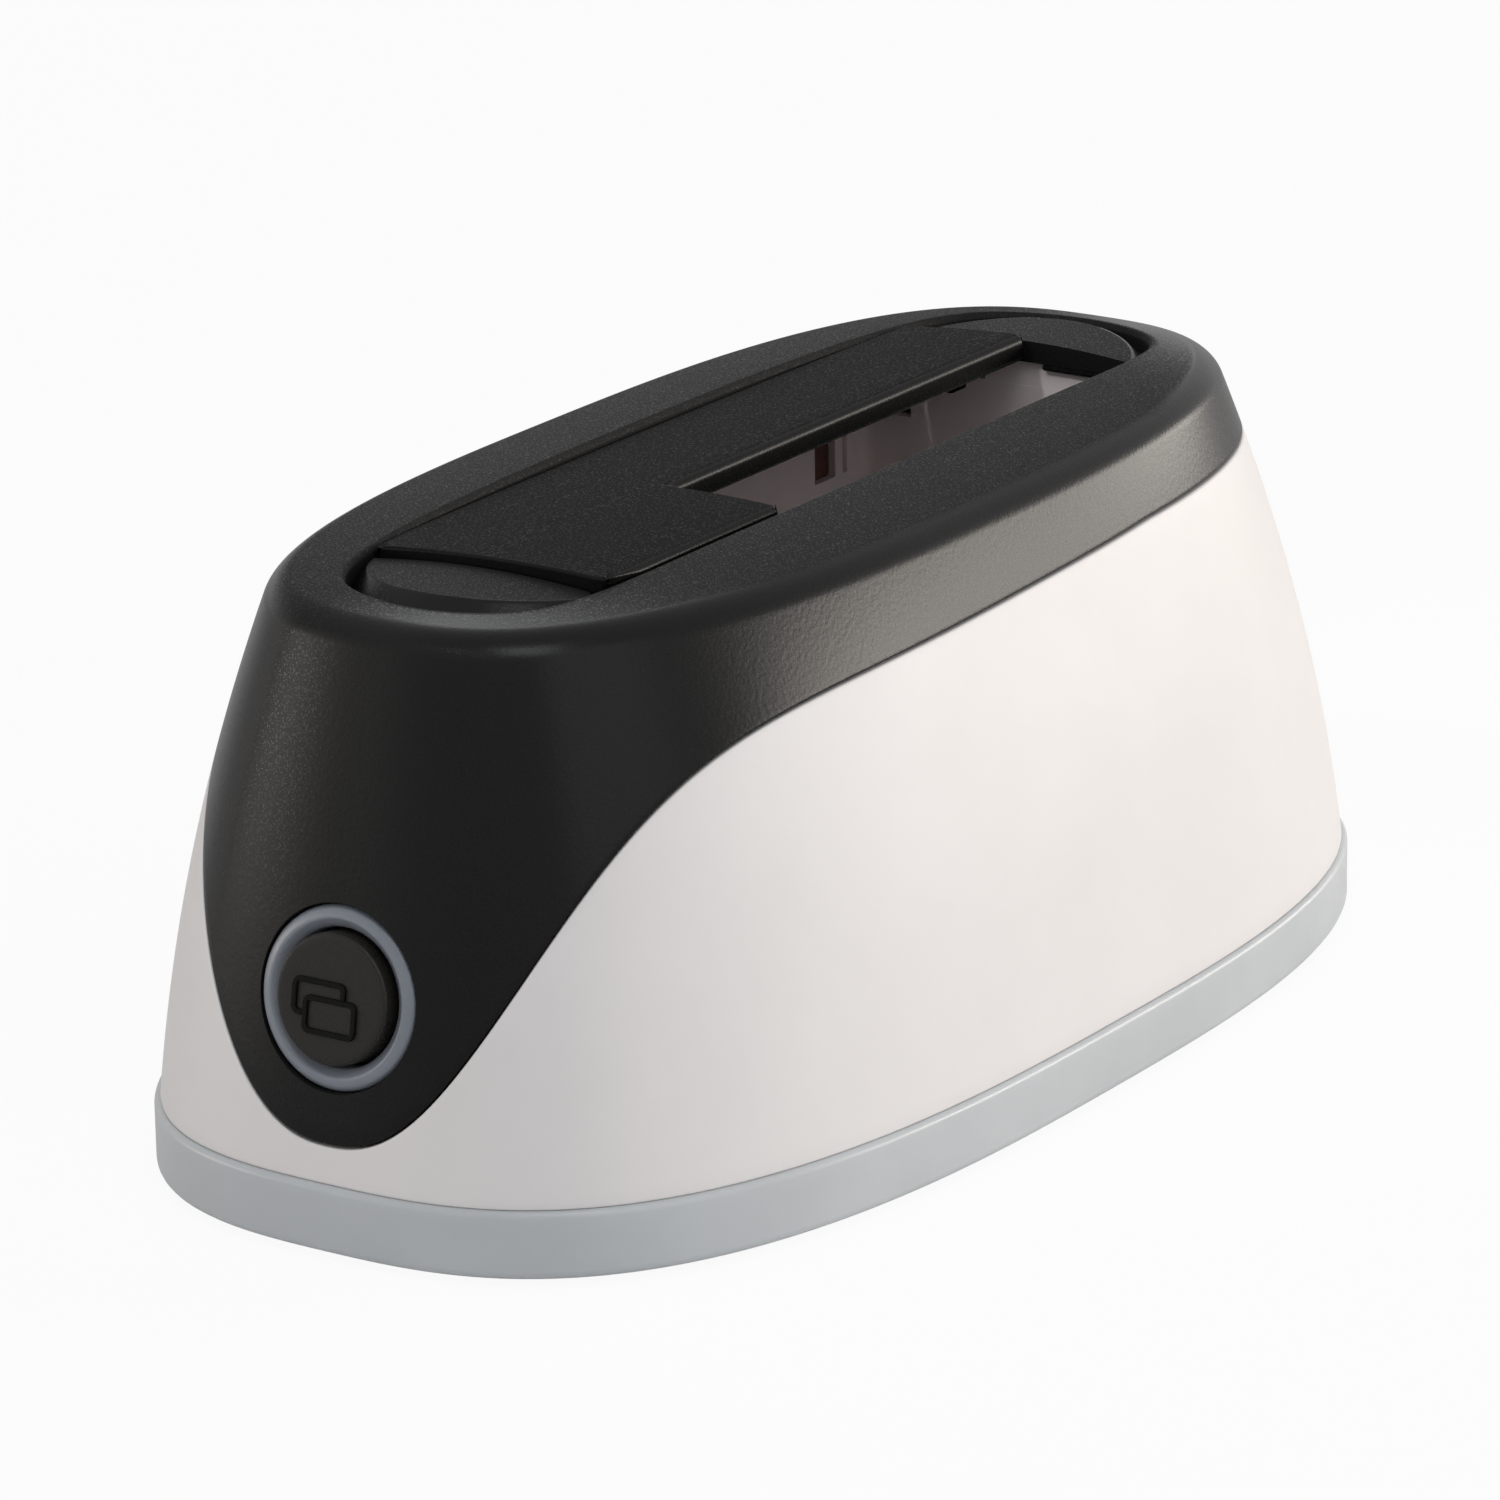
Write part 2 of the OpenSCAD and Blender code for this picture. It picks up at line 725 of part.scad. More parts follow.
// Inner frame: flange under the rim, crescents, hinge lugs and drive guides
module crown() {
  translate([flap_half, flap_crown - crown_r])
    circle(r = crown_r, $fn = arc_fn);
}
module crescent(side) {
  rise_h = crescent_z - bezel_z;
  foot_r = rim_end_r - crescent_gap;
  end_y = side < 0 ? slot_front : slot_rear;
  intersection() {
    translate([0, slot_y + side * crescent_y, bezel_z])
      union() {
        cylinder(r = foot_r, h = rise_h - crescent_slope);
        translate([0, 0, rise_h - crescent_slope])
          cylinder(r1 = foot_r, r2 = foot_r - crescent_slope, h = crescent_slope);
      }
    translate([-rim_half_end + crescent_gap, min(end_y, end_y + side * rim_l), bezel_z])
      cube([2 * (rim_half_end - crescent_gap), rim_l, rise_h]);
    translate([0, 0, bezel_z])
      linear_extrude(rise_h)
        polygon([for (u = turns) rim(u, -crescent_gap)]);
    along_y(slot_y, body_l)
      translate([-flap_half, flap_left_z - crescent_low])
        rotate(flap_tilt)
          crown();
  }
}
module bezel_plate(h) {
  linear_extrude(h)
    polygon([for (u = turns) flange(u, -flange_gap)]);
}
module slot_bezel() {
  color("#26272a")
    difference() {
      union() {
        difference() {
          translate([0, 0, bezel_z])
            bezel_plate(bezel_t);
          translate([-slot_right, slot_front, bezel_z - over])
            cube([2 * slot_right, slot_l, bezel_t + 2 * over]);
          translate([slot_left, lug_ys[0] + lug_l / 2, bezel_z - over])
            cube([-slot_left, lug_ys[2] - lug_ys[0] - lug_l, bezel_t + 2 * over]);
        }
        crescent(-1);
        crescent(1);
        intersection() {
          for (y = lug_ys)
            along_y(y, lug_l)
              union() {
                translate([hinge_x, hinge_z])
                  circle(r = lug_r);
                translate([lug_left, hinge_z - lug_r])
                  square([hinge_x - lug_left, bezel_z + bezel_t - hinge_z + lug_r]);
              }
          translate([0, 0, bezel_z - body_h])
            bezel_plate(body_h + bezel_t);
        }
        translate([slot_right, slot_front, bezel_z - guide_drop])
          cube([guide_t, slot_l + guide_t, guide_drop + bezel_t]);
        translate([notch_x + guide_t, slot_rear, bezel_z - guide_drop])
          cube([slot_right - notch_x - guide_t, guide_t, guide_drop + bezel_t]);
        post_places()
          translate([0, 0, post_z])
            cylinder(d = post_top_d, h = bezel_z + eps - post_z);
      }
      translate([0, lug_ys[0] - lug_l, 0])
        translate([hinge_x, 0, hinge_z])
          rotate([-90, 0, 0])
            cylinder(d = pin_d + 2 * pin_play, h = lug_ys[2] - lug_ys[0] + 2 * lug_l);
      post_places()
        translate([0, 0, post_z - over])
          cylinder(d = case_d + screw_play, h = over + case_bite + screw_blind);
      bezel_screw_places()
        translate([0, 0, bezel_z - over])
          cylinder(d = board_screw_d + 2 * screw_play, h = bezel_t + 2 * over);
      translate([rim_half_end - crescent_gap, slot_front, bezel_z + bezel_t])
        rotate([0, 0, 45])
          cube([corner_cut, corner_cut, 2 * (crescent_z - under_z + over)], center = true);
    }
}

// L-shaped door with a crowned section
module flap_section() {
  rotate(flap_tilt)
    difference() {
      intersection() {
        crown();
        translate([0, -flap_t])
          square([flap_w, flap_t + flap_crown + over]);
      }
      translate([flap_w - flap_edge_r, -flap_edge_r])
        difference() {
          square(flap_edge_r + flap_crown + over);
          circle(r = flap_edge_r);
        }
    }
}
module flap_plate() {
  intersection() {
    along_y((flap_front + flap_rear) / 2, flap_rear - flap_front)
      translate([-flap_half, flap_left_z])
        flap_section();
    translate([0, 0, hinge_z])
      linear_extrude(body_h)
        polygon([for (u = turns) rim(u, -rim_gap)]);
  }
}
module flap() {
  arm_top = hinge_z + knuckle_d / 2;
  plate_low = flap_left_z - flap_t;
  color("#2d2e31")
    difference() {
      union() {
        difference() {
          flap_plate();
          translate([notch_x, notch_y, hinge_z])
            cube([flap_w, slot_l, body_h]);
        }
        for (y = knuckle_ys)
          along_y(y, knuckle_l)
            union() {
              translate([hinge_x, hinge_z])
                circle(d = knuckle_d);
              polygon([[hinge_x, hinge_z - knuckle_d / 2], [hinge_x, arm_top],
                [-flap_half + pin_play, arm_top], [-flap_half + pin_play, plate_low + flap_t / 2],
                [-flap_half + arm_w, plate_low + flap_t / 2], [-flap_half + arm_w, hinge_z]]);
            }
        for (e = [[notch_x + notch_w / 2, -1], [-flap_half / 2, 1]])
          let (end_y = e[1] < 0 ? flap_front : flap_rear - hook_t,
            hook_reach = hook_catch + (e[1] < 0 ? flap_gap : flap_rear_gap))
            translate([e[0] - hook_w / 2, end_y, hinge_z - hook_room - hook_t])
              union() {
                cube([hook_w, hook_t, plate_low - hinge_z + hook_room + hook_t + flap_t / 2]);
                translate([0, e[1] < 0 ? -hook_reach : 0, 0])
                  cube([hook_w, hook_t + hook_reach, hook_t]);
              }
      }
      translate([hinge_x, slot_front, hinge_z])
        rotate([-90, 0, 0])
          cylinder(d = pin_d + 2 * pin_play, h = slot_l);
    }
}
module hinge_pin() {
  color("silver")
    translate([hinge_x, slot_y - pin_l / 2, hinge_z])
      rotate([-90, 0, 0])
        cylinder(d = pin_d, h = pin_l);
}
// Torsion spring round the pin: one leg behind the hinge, the other under the flap
function spring_point(a) =
  [hinge_x + spring_r * sin(a), spring_y + spring_pitch * a / 360, hinge_z - spring_r * cos(a)];
spring_steps = (spring_turns + 0.5) * spring_rings;
spring_coil = [for (i = [0 : spring_steps]) spring_point(i * 360 / spring_rings)];
module flap_spring() {
  first = spring_coil[0];
  last = spring_coil[len(spring_coil) - 1];
  under_bezel = bezel_z - spring_wire / 2 - spring_touch;
  under_flap = flap_left_z - flap_t - spring_wire / 2 - spring_touch;
  path = concat([[slot_left - spring_leg, first.y, under_bezel]], spring_coil,
    [last + [spring_bend, 0, 0], [hinge_x + spring_arm, last.y, under_flap]]);
  color("#b9bcc0")
    tube(path, spring_wire / 2, spring_sides);
}

// White shell below the parting line, with the socket niche at its rear
module shell_body() {
  high = [for (u = turns) part_z(u) - part_gap / 2];
  outer = [for (f = [0 : 8]) [for (i = [0 : columns - 1])
    skin(turns[i], mix(seam_z, high[i], f / 8))]];
  step = [for (i = [0 : columns - 1]) skin(turns[i], high[i], wall / 2)];
  ledge = [for (i = [0 : columns - 1]) skin(turns[i], high[i] - lap_h, wall / 2)];
  inner = [for (f = [0 : 6]) [for (i = [0 : columns - 1])
    skin(turns[i], mix(high[i] - lap_h, seam_z, f / 6), wall)]];
  loft(concat(outer, [step, ledge], inner), ring = true);
}
module niche_box(grow, depth) {
  translate([-niche_half - grow, niche_y - depth, niche_low_z - grow])
    cube([2 * (niche_half + grow), body_l, niche_h + 2 * grow]);
}
module main_shell() {
  color("#f1efec")
    difference() {
      union() {
        shell_body();
        intersection() {
          niche_box(niche_wall, niche_wall);
          loft([for (z = [seam_z, niche_low_z + niche_h / 2, niche_low_z + niche_h + 2 * niche_wall])
            loop_at(z, wall / 2)]);
        }
        shell_boss_places()
          translate([0, 0, shell_seat_z])
            cylinder(d = shell_boss_d, h = shell_boss_h);
      }
      niche_box(0, 0);
      translate([usb_x - usb_w / 2 - socket_gap, niche_y - switch_l, board_top - socket_gap])
        cube([usb_w + 2 * socket_gap, switch_l + over, usb_h + 2 * socket_gap]);
      translate([dc_x - dc_w / 2 - socket_gap, niche_y - switch_l, board_top - socket_gap])
        cube([dc_w + 2 * socket_gap, switch_l + over, dc_h + 2 * socket_gap]);
      translate([switch_x - switch_w / 2 - socket_gap, niche_y - switch_l,
          switch_z - switch_h / 2 - socket_gap])
        cube([switch_w + 2 * socket_gap, switch_l + over, switch_h + 2 * socket_gap]);
      shell_boss_places()
        translate([0, 0, shell_seat_z - over])
          cylinder(d = shell_screw_d + screw_play, h = shell_bite + over);
    }
}

// White bay that guides the drive down onto its connector
module drive_bay() {
  color("#efe9e6")
    difference() {
      translate([bay_left - bay_wall, bay_front - bay_wall, bay_z])
        cube([bay_right - bay_left + 2 * bay_wall, bay_rear - bay_front + 2 * bay_wall, bay_top - bay_z]);
      translate([bay_left, bay_front, bay_in_z])
        cube([bay_right - bay_left, bay_rear - bay_front, bay_top]);
      translate([sata_x - sata_w / 2 - sata_gap, sata_y - sata_l / 2 - sata_gap, bay_z - over])
        cube([sata_w + 2 * sata_gap, sata_l + 2 * sata_gap, bay_floor + 2 * over]);
      translate([bay_left - window_deep, window_y - window_w / 2, window_z])
        cube([window_deep + over, window_w, window_h]);
      bay_post_places()
        translate([0, 0, bay_z - over])
          cylinder(d = bay_screw_d + 2 * screw_play, h = bay_floor + 2 * over);
      bay_post_places()
        translate([0, 0, bay_in_z - bay_head_h])
          cylinder(d = bay_head_d + 2 * screw_play, h = bay_head_h + over);
    }
}

// Grey base: skirt, floor, locating lip, posts and screw bosses
module tray_body() {
  half_a = body_w / 2;
  half_b = body_l / 2;
  steps = [[base_bevel, foot_gap], [base_bevel / 3, foot_gap + base_bevel / 5],
    [0, foot_gap + base_bevel], [0, base_h - base_round],
    [base_ledge * 0.3, base_h - base_round * 0.3], [base_ledge, base_h]];
  skirt = [for (s = steps) [for (u = turns)
    lifted(oval(half_a - s[0], half_b - s[0], base_square, u), s[1])]];
  lip = [loop_at(base_h, wall + lip_gap), loop_at(base_h + lip_h, wall + lip_gap),
    loop_at(base_h + lip_h, wall + lip_gap + lip_w),
    [for (p = loop_at(base_h, wall + lip_gap + lip_w)) lifted(p, floor_z)]];
  loft(concat(skirt, lip));
}
module base_tray() {
  color("#b7bcc0")
    difference() {
      union() {
        difference() {
          tray_body();
          translate([-niche_half - 2 * niche_wall, niche_y - 2 * niche_wall, base_h])
            cube([2 * niche_half + 4 * niche_wall, body_l, lip_h + over]);
        }
        shell_boss_places()
          translate([0, 0, floor_z - eps])
            cylinder(d = shell_boss_d, h = shell_seat_z - floor_z + eps);
        bay_post_places()
          translate([0, 0, floor_z - eps])
            cylinder(d = bay_post_d, h = bay_z - floor_z + eps);
        board_screw_places()
          translate([0, 0, floor_z - eps])
            cylinder(d = standoff_d, h = board_z - floor_z + eps);
        post_places()
          translate([0, 0, floor_z - eps])
            cylinder(d = post_d, h = post_z - floor_z + eps);
      }
      shell_boss_places() {
        translate([0, 0, foot_gap - over])
          cylinder(d = shell_screw_d + 2 * screw_play, h = shell_seat_z - foot_gap + 2 * over);
        translate([0, 0, foot_gap - over])
          cylinder(d = shell_head_d + 2 * screw_play, h = shell_head_z - foot_gap + over);
      }
      bay_post_places()
        translate([0, 0, bay_z - bay_bite])
          cylinder(d = bay_screw_d + screw_play, h = bay_bite + over);
      board_screw_places()
        translate([0, 0, board_z - board_bite])
          cylinder(d = board_screw_d + screw_play, h = board_bite + over);
      post_places() {
        translate([0, 0, foot_gap - over])
          cylinder(d = case_d + 2 * screw_play, h = post_z - foot_gap + 2 * over);
        translate([0, 0, foot_gap - over])
          cylinder(d = case_head_d + 2 * screw_play, h = case_seat_z - foot_gap + over);
      }
      for (x = [-foot_x, foot_x], y = [-foot_y, foot_y])
        translate([x, y, foot_gap - over])
          cylinder(d = foot_d + 2 * foot_play, h = foot_sink + over);
    }
}
module rubber_feet() {
  color("#1d1d1f")
    for (x = [-foot_x, foot_x], y = [-foot_y, foot_y])
      translate([x, y, 0])
        rotate_extrude()
          polygon([[0, 0], [foot_d / 2 - foot_round, 0], [foot_d / 2, foot_round],
            [foot_d / 2, foot_t], [0, foot_t]]);
}

// Main board with its parts
module main_board() {
  color("#1f5a3a")
    difference() {
      intersection() {
        translate([-board_w / 2, board_front, board_z])
          cube([board_w, board_l, board_t]);
        translate([0, 0, board_z])
          linear_extrude(board_t)
            polygon([for (u = turns) oval(seam_w / 2 - wall - board_edge, seam_l / 2 - wall - board_edge,
              base_square, u)]);
      }
      board_screw_places()
        translate([0, 0, board_z - over])
          cylinder(d = board_screw_d + 2 * screw_play, h = board_t + 2 * over);
      bay_post_places()
        translate([0, 0, board_z - over])
          cylinder(d = bay_post_d + 2 * board_hole_gap, h = board_t + 2 * over);
      post_places()
        translate([0, 0, board_z - over])
          cylinder(d = post_d + 2 * board_hole_gap, h = board_t + 2 * over);
    }
}
module sata_connector() {
  top = board_top + sata_h;
  color("#202124")
    difference() {
      translate([sata_x - sata_w / 2, sata_y - sata_l / 2, board_top])
        cube([sata_w, sata_l, sata_h]);
      for (s = [[signal_y, sata_signal_l], [power_y, sata_power_l]]) {
        translate([sata_x - sata_slot_w / 2, s[0], top - sata_slot_deep])
          cube([sata_slot_w, s[1], sata_slot_deep + over]);
        translate([sata_x - sata_slot_w / 2 - sata_key, s[0] + s[1] - sata_key, top - sata_slot_deep])
          cube([sata_key + eps, sata_key, sata_slot_deep + over]);
      }
    }
}
module sata_contacts() {
  color("goldenrod")
    for (s = [[signal_y, signal_pins], [power_y, power_pins]], i = [0 : s[1] - 1])
      translate([sata_x + sata_slot_w / 2 - contact_t, s[0] + contact_in + i * contact_step,
          board_top + sata_h - sata_slot_deep])
        cube([contact_t, contact_w, sata_slot_deep - contact_low]);
}
module bridge_chip() {
  color("#1b1b1d")
    translate([chip_x, chip_y, board_top])
      difference() {
        cube([chip_s, chip_s, chip_t]);
        translate([chip_dot_in, chip_dot_in, chip_t - chip_dot_deep])
          cylinder(d = chip_dot_d, h = over);
      }
}
module capacitors() {
  can_r = can_d / 2;
  color("#8d939b")
    for (i = [0, 1])
      translate([can_x, can_y + i * (can_d + can_gap), board_top])
        rotate_extrude()
          polygon([[0, 0], [can_r, 0], [can_r, can_foot], [can_r - can_waist, can_foot + can_waist],
            [can_r, can_foot + 2 * can_waist], [can_r, can_h - can_waist], [can_r - can_waist, can_h],
            [0, can_h]]);
}
module inductor() {
  color("#4a4c50")
    translate([coil_x, coil_y, board_top])
      difference() {
        cube([coil_s, coil_s, coil_h]);
        translate([coil_s / 2, coil_s / 2, coil_h - coil_dish])
          cylinder(d = coil_s - 2 * coil_rim, h = over);
      }
}
module crystal() {
  color("silver")
    translate([crystal_x, crystal_y, board_top])
      linear_extrude(crystal_h)
        union() {
          square([crystal_l, crystal_w], center = true);
          for (x = [-1, 1])
            translate([x * crystal_l / 2, 0])
              circle(d = crystal_w);
        }
}

// USB 3.0 type B socket: stepped metal can, tongues and contacts
module usb_outline(inset) {
  low = usb_h - usb_step_h;
  polygon([[-usb_w / 2 + inset, inset], [usb_w / 2 - inset, inset], [usb_w / 2 - inset, low - inset],
    [usb_w / 2 - usb_step_w - inset, usb_h - inset], [-usb_w / 2 + usb_step_w + inset, usb_h - inset],
    [-usb_w / 2 + inset, low - inset]]);
}
module usb_shell() {
  color("silver")
    translate([usb_x, socket_face, board_top])
      rotate([90, 0, 0])
        difference() {
          linear_extrude(usb_l)
            usb_outline(0);
          translate([0, 0, -over])
            linear_extrude(usb_l + over - usb_back)
              usb_outline(usb_wall);
        }
}
module usb_tongue() {
  color("#2a6fd6")
    translate([usb_x, socket_face - usb_l + usb_back, board_top]) {
      translate([-usb_tongue_w / 2, 0, usb_tongue_low])
        cube([usb_tongue_w, usb_l - usb_back - usb_tip, usb_tongue_h]);
      translate([-usb_upper_w / 2, 0, usb_upper_low])
        cube([usb_upper_w, usb_l - usb_back - usb_tip, usb_upper_h]);
    }
}
module usb_contacts() {
  blade_l = usb_l - usb_back - usb_tip - usb_blade_tip;
  color("goldenrod")
    translate([usb_x, socket_face - usb_l + usb_back, board_top]) {
      for (x = [-1, 1], z = [usb_tongue_low - usb_blade, usb_tongue_low + usb_tongue_h])
        translate([x * usb_lower_gap / 2 - contact_w / 2, 0, z])
          cube([contact_w, blade_l, usb_blade]);
      for (i = [-2 : 2])
        translate([i * usb_upper_gap - usb_blade, 0, usb_upper_low + usb_upper_h])
          cube([2 * usb_blade, blade_l, usb_blade]);
    }
}
module dc_jack() {
  color("#1c1c1e")
    difference() {
      translate([dc_x - dc_w / 2, socket_face - dc_l, board_top])
        cube([dc_w, dc_l, dc_h]);
      translate([dc_x, socket_face + over, dc_z])
        rotate([90, 0, 0])
          cylinder(d = dc_bore, h = dc_deep + over);
    }
}
module dc_pin() {
  color("silver")
    translate([dc_x, socket_face - dc_sink, dc_z])
      rotate([90, 0, 0])
        union() {
          translate([0, 0, dc_tip])
            cylinder(d = dc_pin_d, h = dc_deep - dc_sink - dc_tip);
          cylinder(d1 = dc_pin_d - dc_tip, d2 = dc_pin_d, h = dc_tip);
        }
}
module power_switch() {
  color("#1c1c1e")
    translate([switch_x, niche_y, switch_z])
      difference() {
        union() {
          translate([-switch_w / 2, -switch_l, -switch_h / 2])
            cube([switch_w, switch_l, switch_h]);
          translate([-switch_w / 2 - switch_flange, 0, -switch_h / 2 - switch_flange])
            cube([switch_w + 2 * switch_flange, switch_flange_t, switch_h + 2 * switch_flange]);
        }
        translate([-switch_w / 2 + switch_wall, -switch_l + switch_wall, -switch_h / 2 + switch_wall])
          cube([switch_w - 2 * switch_wall, switch_l + over, switch_h - 2 * switch_wall]);
        translate([0, -switch_l / 2, -switch_h / 2 - over])
          cylinder(d = rocker_pin_d + 2 * pin_play, h = switch_h + 2 * over);
      }
}
// Rocker on an upright pin, with its left half pressed in at rest
rocker_h = switch_h - 2 * switch_wall - 2 * rocker_gap;
rocker_half = (switch_w / 2 - switch_wall - rocker_gap - rocker_r * sin(rocker_swing))
  / cos(rocker_swing);
module power_rocker() {
  color("#26262a")
    translate([switch_x, niche_y - switch_l / 2, switch_z]) {
      rotate([0, 0, rocker_swing])
        translate([0, 0, -rocker_h / 2])
          linear_extrude(rocker_h)
            difference() {
              intersection() {
                translate([-rocker_half, 0])
                  square([2 * rocker_half, switch_l]);
                circle(r = rocker_r);
              }
              translate([0, rocker_r - rocker_dish_deep + rocker_dish])
                circle(r = rocker_dish);
            }
      cylinder(d = rocker_pin_d, h = switch_h - 2 * switch_wall + 2 * rocker_pin_in, center = true);
    }
}

// Button group: domed light ring, and a proud cap with two raised frames
module button_ring() {
  color("#8f98a3")
    at_button()
      rotate_extrude()
        polygon([[ring_in_r, -cap_seat], [ring_r + ring_flange, -cap_seat], [ring_r + ring_flange, -pad_in],
          [ring_r, -pad_in], [ring_r, -ring_low - ring_edge], [ring_r - ring_edge, -ring_low],
          [ring_r - ring_w / 2, ring_dome - ring_low], [ring_in_r + ring_edge, ring_dome - ring_low],
          [ring_in_r, ring_dome - ring_low - ring_edge]]);
}
module round_frame(w, h, r) {
  square([w, h - 2 * r], center = true);
  square([w - 2 * r, h], center = true);
  for (x = [-1, 1], y = [-1, 1])
    translate([x * (w / 2 - r), y * (h / 2 - r)])
      circle(r = r);
}
module icon_frame(at) {
  translate(at)
    difference() {
      round_frame(icon_w, icon_tall, icon_round);
      round_frame(icon_w - 2 * icon_line, icon_tall - 2 * icon_line, icon_round - icon_line);
    }
}
module icon() {
  place = [icon_across / 2, -icon_down / 2];
  difference() {
    icon_frame(-place);
    translate(place)
      round_frame(icon_w, icon_tall, icon_round);
  }
  icon_frame(place);
}
module backup_button() {
  flange_r = cap_r + cap_gap + cap_flange;
  color("#242528")
    at_button()
      union() {
        rotate_extrude()
          polygon([[0, -stem_end], [stem_d / 2, -stem_end], [stem_d / 2, -cap_back], [flange_r, -cap_back],
            [flange_r, -cap_seat - cap_gap], [cap_r, -cap_seat - cap_gap], [cap_r, cap_proud - cap_round],
            [cap_r - cap_round, cap_proud], [0, cap_proud]]);
        translate([0, 0, cap_proud - eps])
          linear_extrude(icon_h + eps)
            icon();
      }
}
module button_board() {
  color("#1f5a3a")
    at_button()
      translate([0, 0, -button_board_in - button_board_t])
        difference() {
          translate([-button_board_w / 2, -button_board_h / 2, 0])
            cube([button_board_w, button_board_h, button_board_t]);
          for (x = [-1, 1])
            translate([x * button_boss_x, 0, -over])
              cylinder(d = button_screw_d + 2 * screw_play, h = button_board_t + 2 * over);
        }
}
module tact_switch() {
  color("#2b2b2e")
    at_button()
      difference() {
        translate([-tact_s / 2, -tact_s / 2, -button_board_in])
          cube([tact_s, tact_s, tact_t]);
        button_disc(plunger_d / 2 + switch_clear, tact_top - over, button_board_in - tact_floor);
      }
}
module tact_plunger() {
  color("#e4e1da")
    at_button()
      button_disc(plunger_d / 2, plunger_top, tact_top + plunger_in);
}
module ring_leds() {
  color("#dfe6f2")
    at_button()
      for (a = [0 : 90 : 270])
        rotate(a + 45)
          translate([led_r - led_s.y / 2, -led_s.x / 2, -button_board_in])
            cube([led_s.y, led_s.x, led_s.z]);
}

// Flat cable between the two boards, bent in the plane across X
cable_start = button_board_in + button_board_t + header_h + cable_play + cable_t * sin(button_lean);
cable_from = [button_y + cable_start * cos(button_lean), button_z - cable_start * sin(button_lean)];
cable_low = board_top + header_h - 2 * cable_t;
arc_steps = 6;
function arc(c, r, from, to) =
  [for (i = [0 : arc_steps]) let (a = mix(from, to, i / arc_steps)) c + r * [cos(a), sin(a)]];
module cable_section() {
  out = cable_from + [cable_run, 0];
  turn = [out.x + 2 * cable_bend + cable_t, cable_low + cable_bend + cable_t];
  upper = concat([[cable_from.x, out.y + cable_t]],
    arc([out.x, out.y - cable_bend], cable_bend + cable_t, 90, 0),
    arc(turn, cable_bend, 180, 270), [[header_y, cable_low + cable_t]]);
  lower = concat([[header_y, cable_low]],
    arc(turn, cable_bend + cable_t, 270, 180), arc([out.x, out.y - cable_bend], cable_bend, 0, 90),
    [[cable_from.x, out.y]]);
  polygon(concat(upper, lower));
}
module board_cable() {
  color("#d9d7cf")
    translate([cable_x - cable_w / 2, 0, 0])
      rotate([90, 0, 90])
        linear_extrude(cable_w)
          cable_section();
}
module cable_headers() {
  color("#e8e4da") {
    at_button()
      translate([cable_x - header_l / 2, -header_w / 2, -button_board_in - button_board_t - header_h])
        cube([header_l, header_w, header_h]);
    difference() {
      translate([cable_x - header_l / 2, header_y - header_w / 2, board_top])
        cube([header_l, header_w, header_h]);
      translate([cable_x - cable_w / 2 - cable_play, header_y - header_w, cable_low - cable_play])
        cube([cable_w + 2 * cable_play, header_w + cable_play, header_h]);
    }
  }
}

// Fasteners
module case_screws() {
  color("silver")
    post_places()
      translate([0, 0, case_seat_z])
        screw(case_d, case_grip + case_bite, case_head_d, case_head_h);
}
module shell_screws() {
  color("silver")
    shell_boss_places()
      translate([0, 0, shell_head_z])
        screw(shell_screw_d, shell_grip + shell_bite - screw_blind, shell_head_d, shell_head_h);
}
module bay_screws() {
  color("silver")
    bay_post_places()
      translate([0, 0, bay_in_z - bay_head_h])
        mirror([0, 0, 1])
          screw(bay_screw_d, bay_floor - bay_head_h + bay_bite - screw_blind, bay_head_d,
            bay_head_h - bay_head_sink);
}
module board_screws() {
  color("silver")
    board_screw_places()
      translate([0, 0, board_top])
        mirror([0, 0, 1])
          screw(board_screw_d, board_t + board_bite - screw_blind, board_head_d, board_head_h);
}
module bezel_screws() {
  color("silver")
    bezel_screw_places()
      translate([0, 0, bezel_z])
        screw(board_screw_d, bezel_t + bezel_screw_bite, board_head_d, board_head_h);
}
module button_screws() {
  color("silver")
    for (x = [-1, 1])
      at_button()
        translate([x * button_boss_x, 0, -button_board_in - button_board_t])
          screw(button_screw_d, button_board_t + button_bite - screw_blind, button_head_d, button_head_h);
}

top_cover();
slot_bezel();
flap();
hinge_pin();
flap_spring();
main_shell();
drive_bay();
base_tray();
rubber_feet();
main_board();
sata_connector();
sata_contacts();
bridge_chip();
capacitors();
inductor();
crystal();
usb_shell();
usb_tongue();
usb_contacts();
dc_jack();
dc_pin();
power_switch();
power_rocker();
button_ring();
backup_button();
button_board();
tact_switch();
tact_plunger();
ring_leds();
board_cable();
cable_headers();
case_screws();
shell_screws();
bay_screws();
board_screws();
bezel_screws();
button_screws();
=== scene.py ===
"""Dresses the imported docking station: fine moulded skins, flap, button, materials, light and camera."""
import json
import math
import bpy
import numpy as np
from mathutils import Matrix, Vector


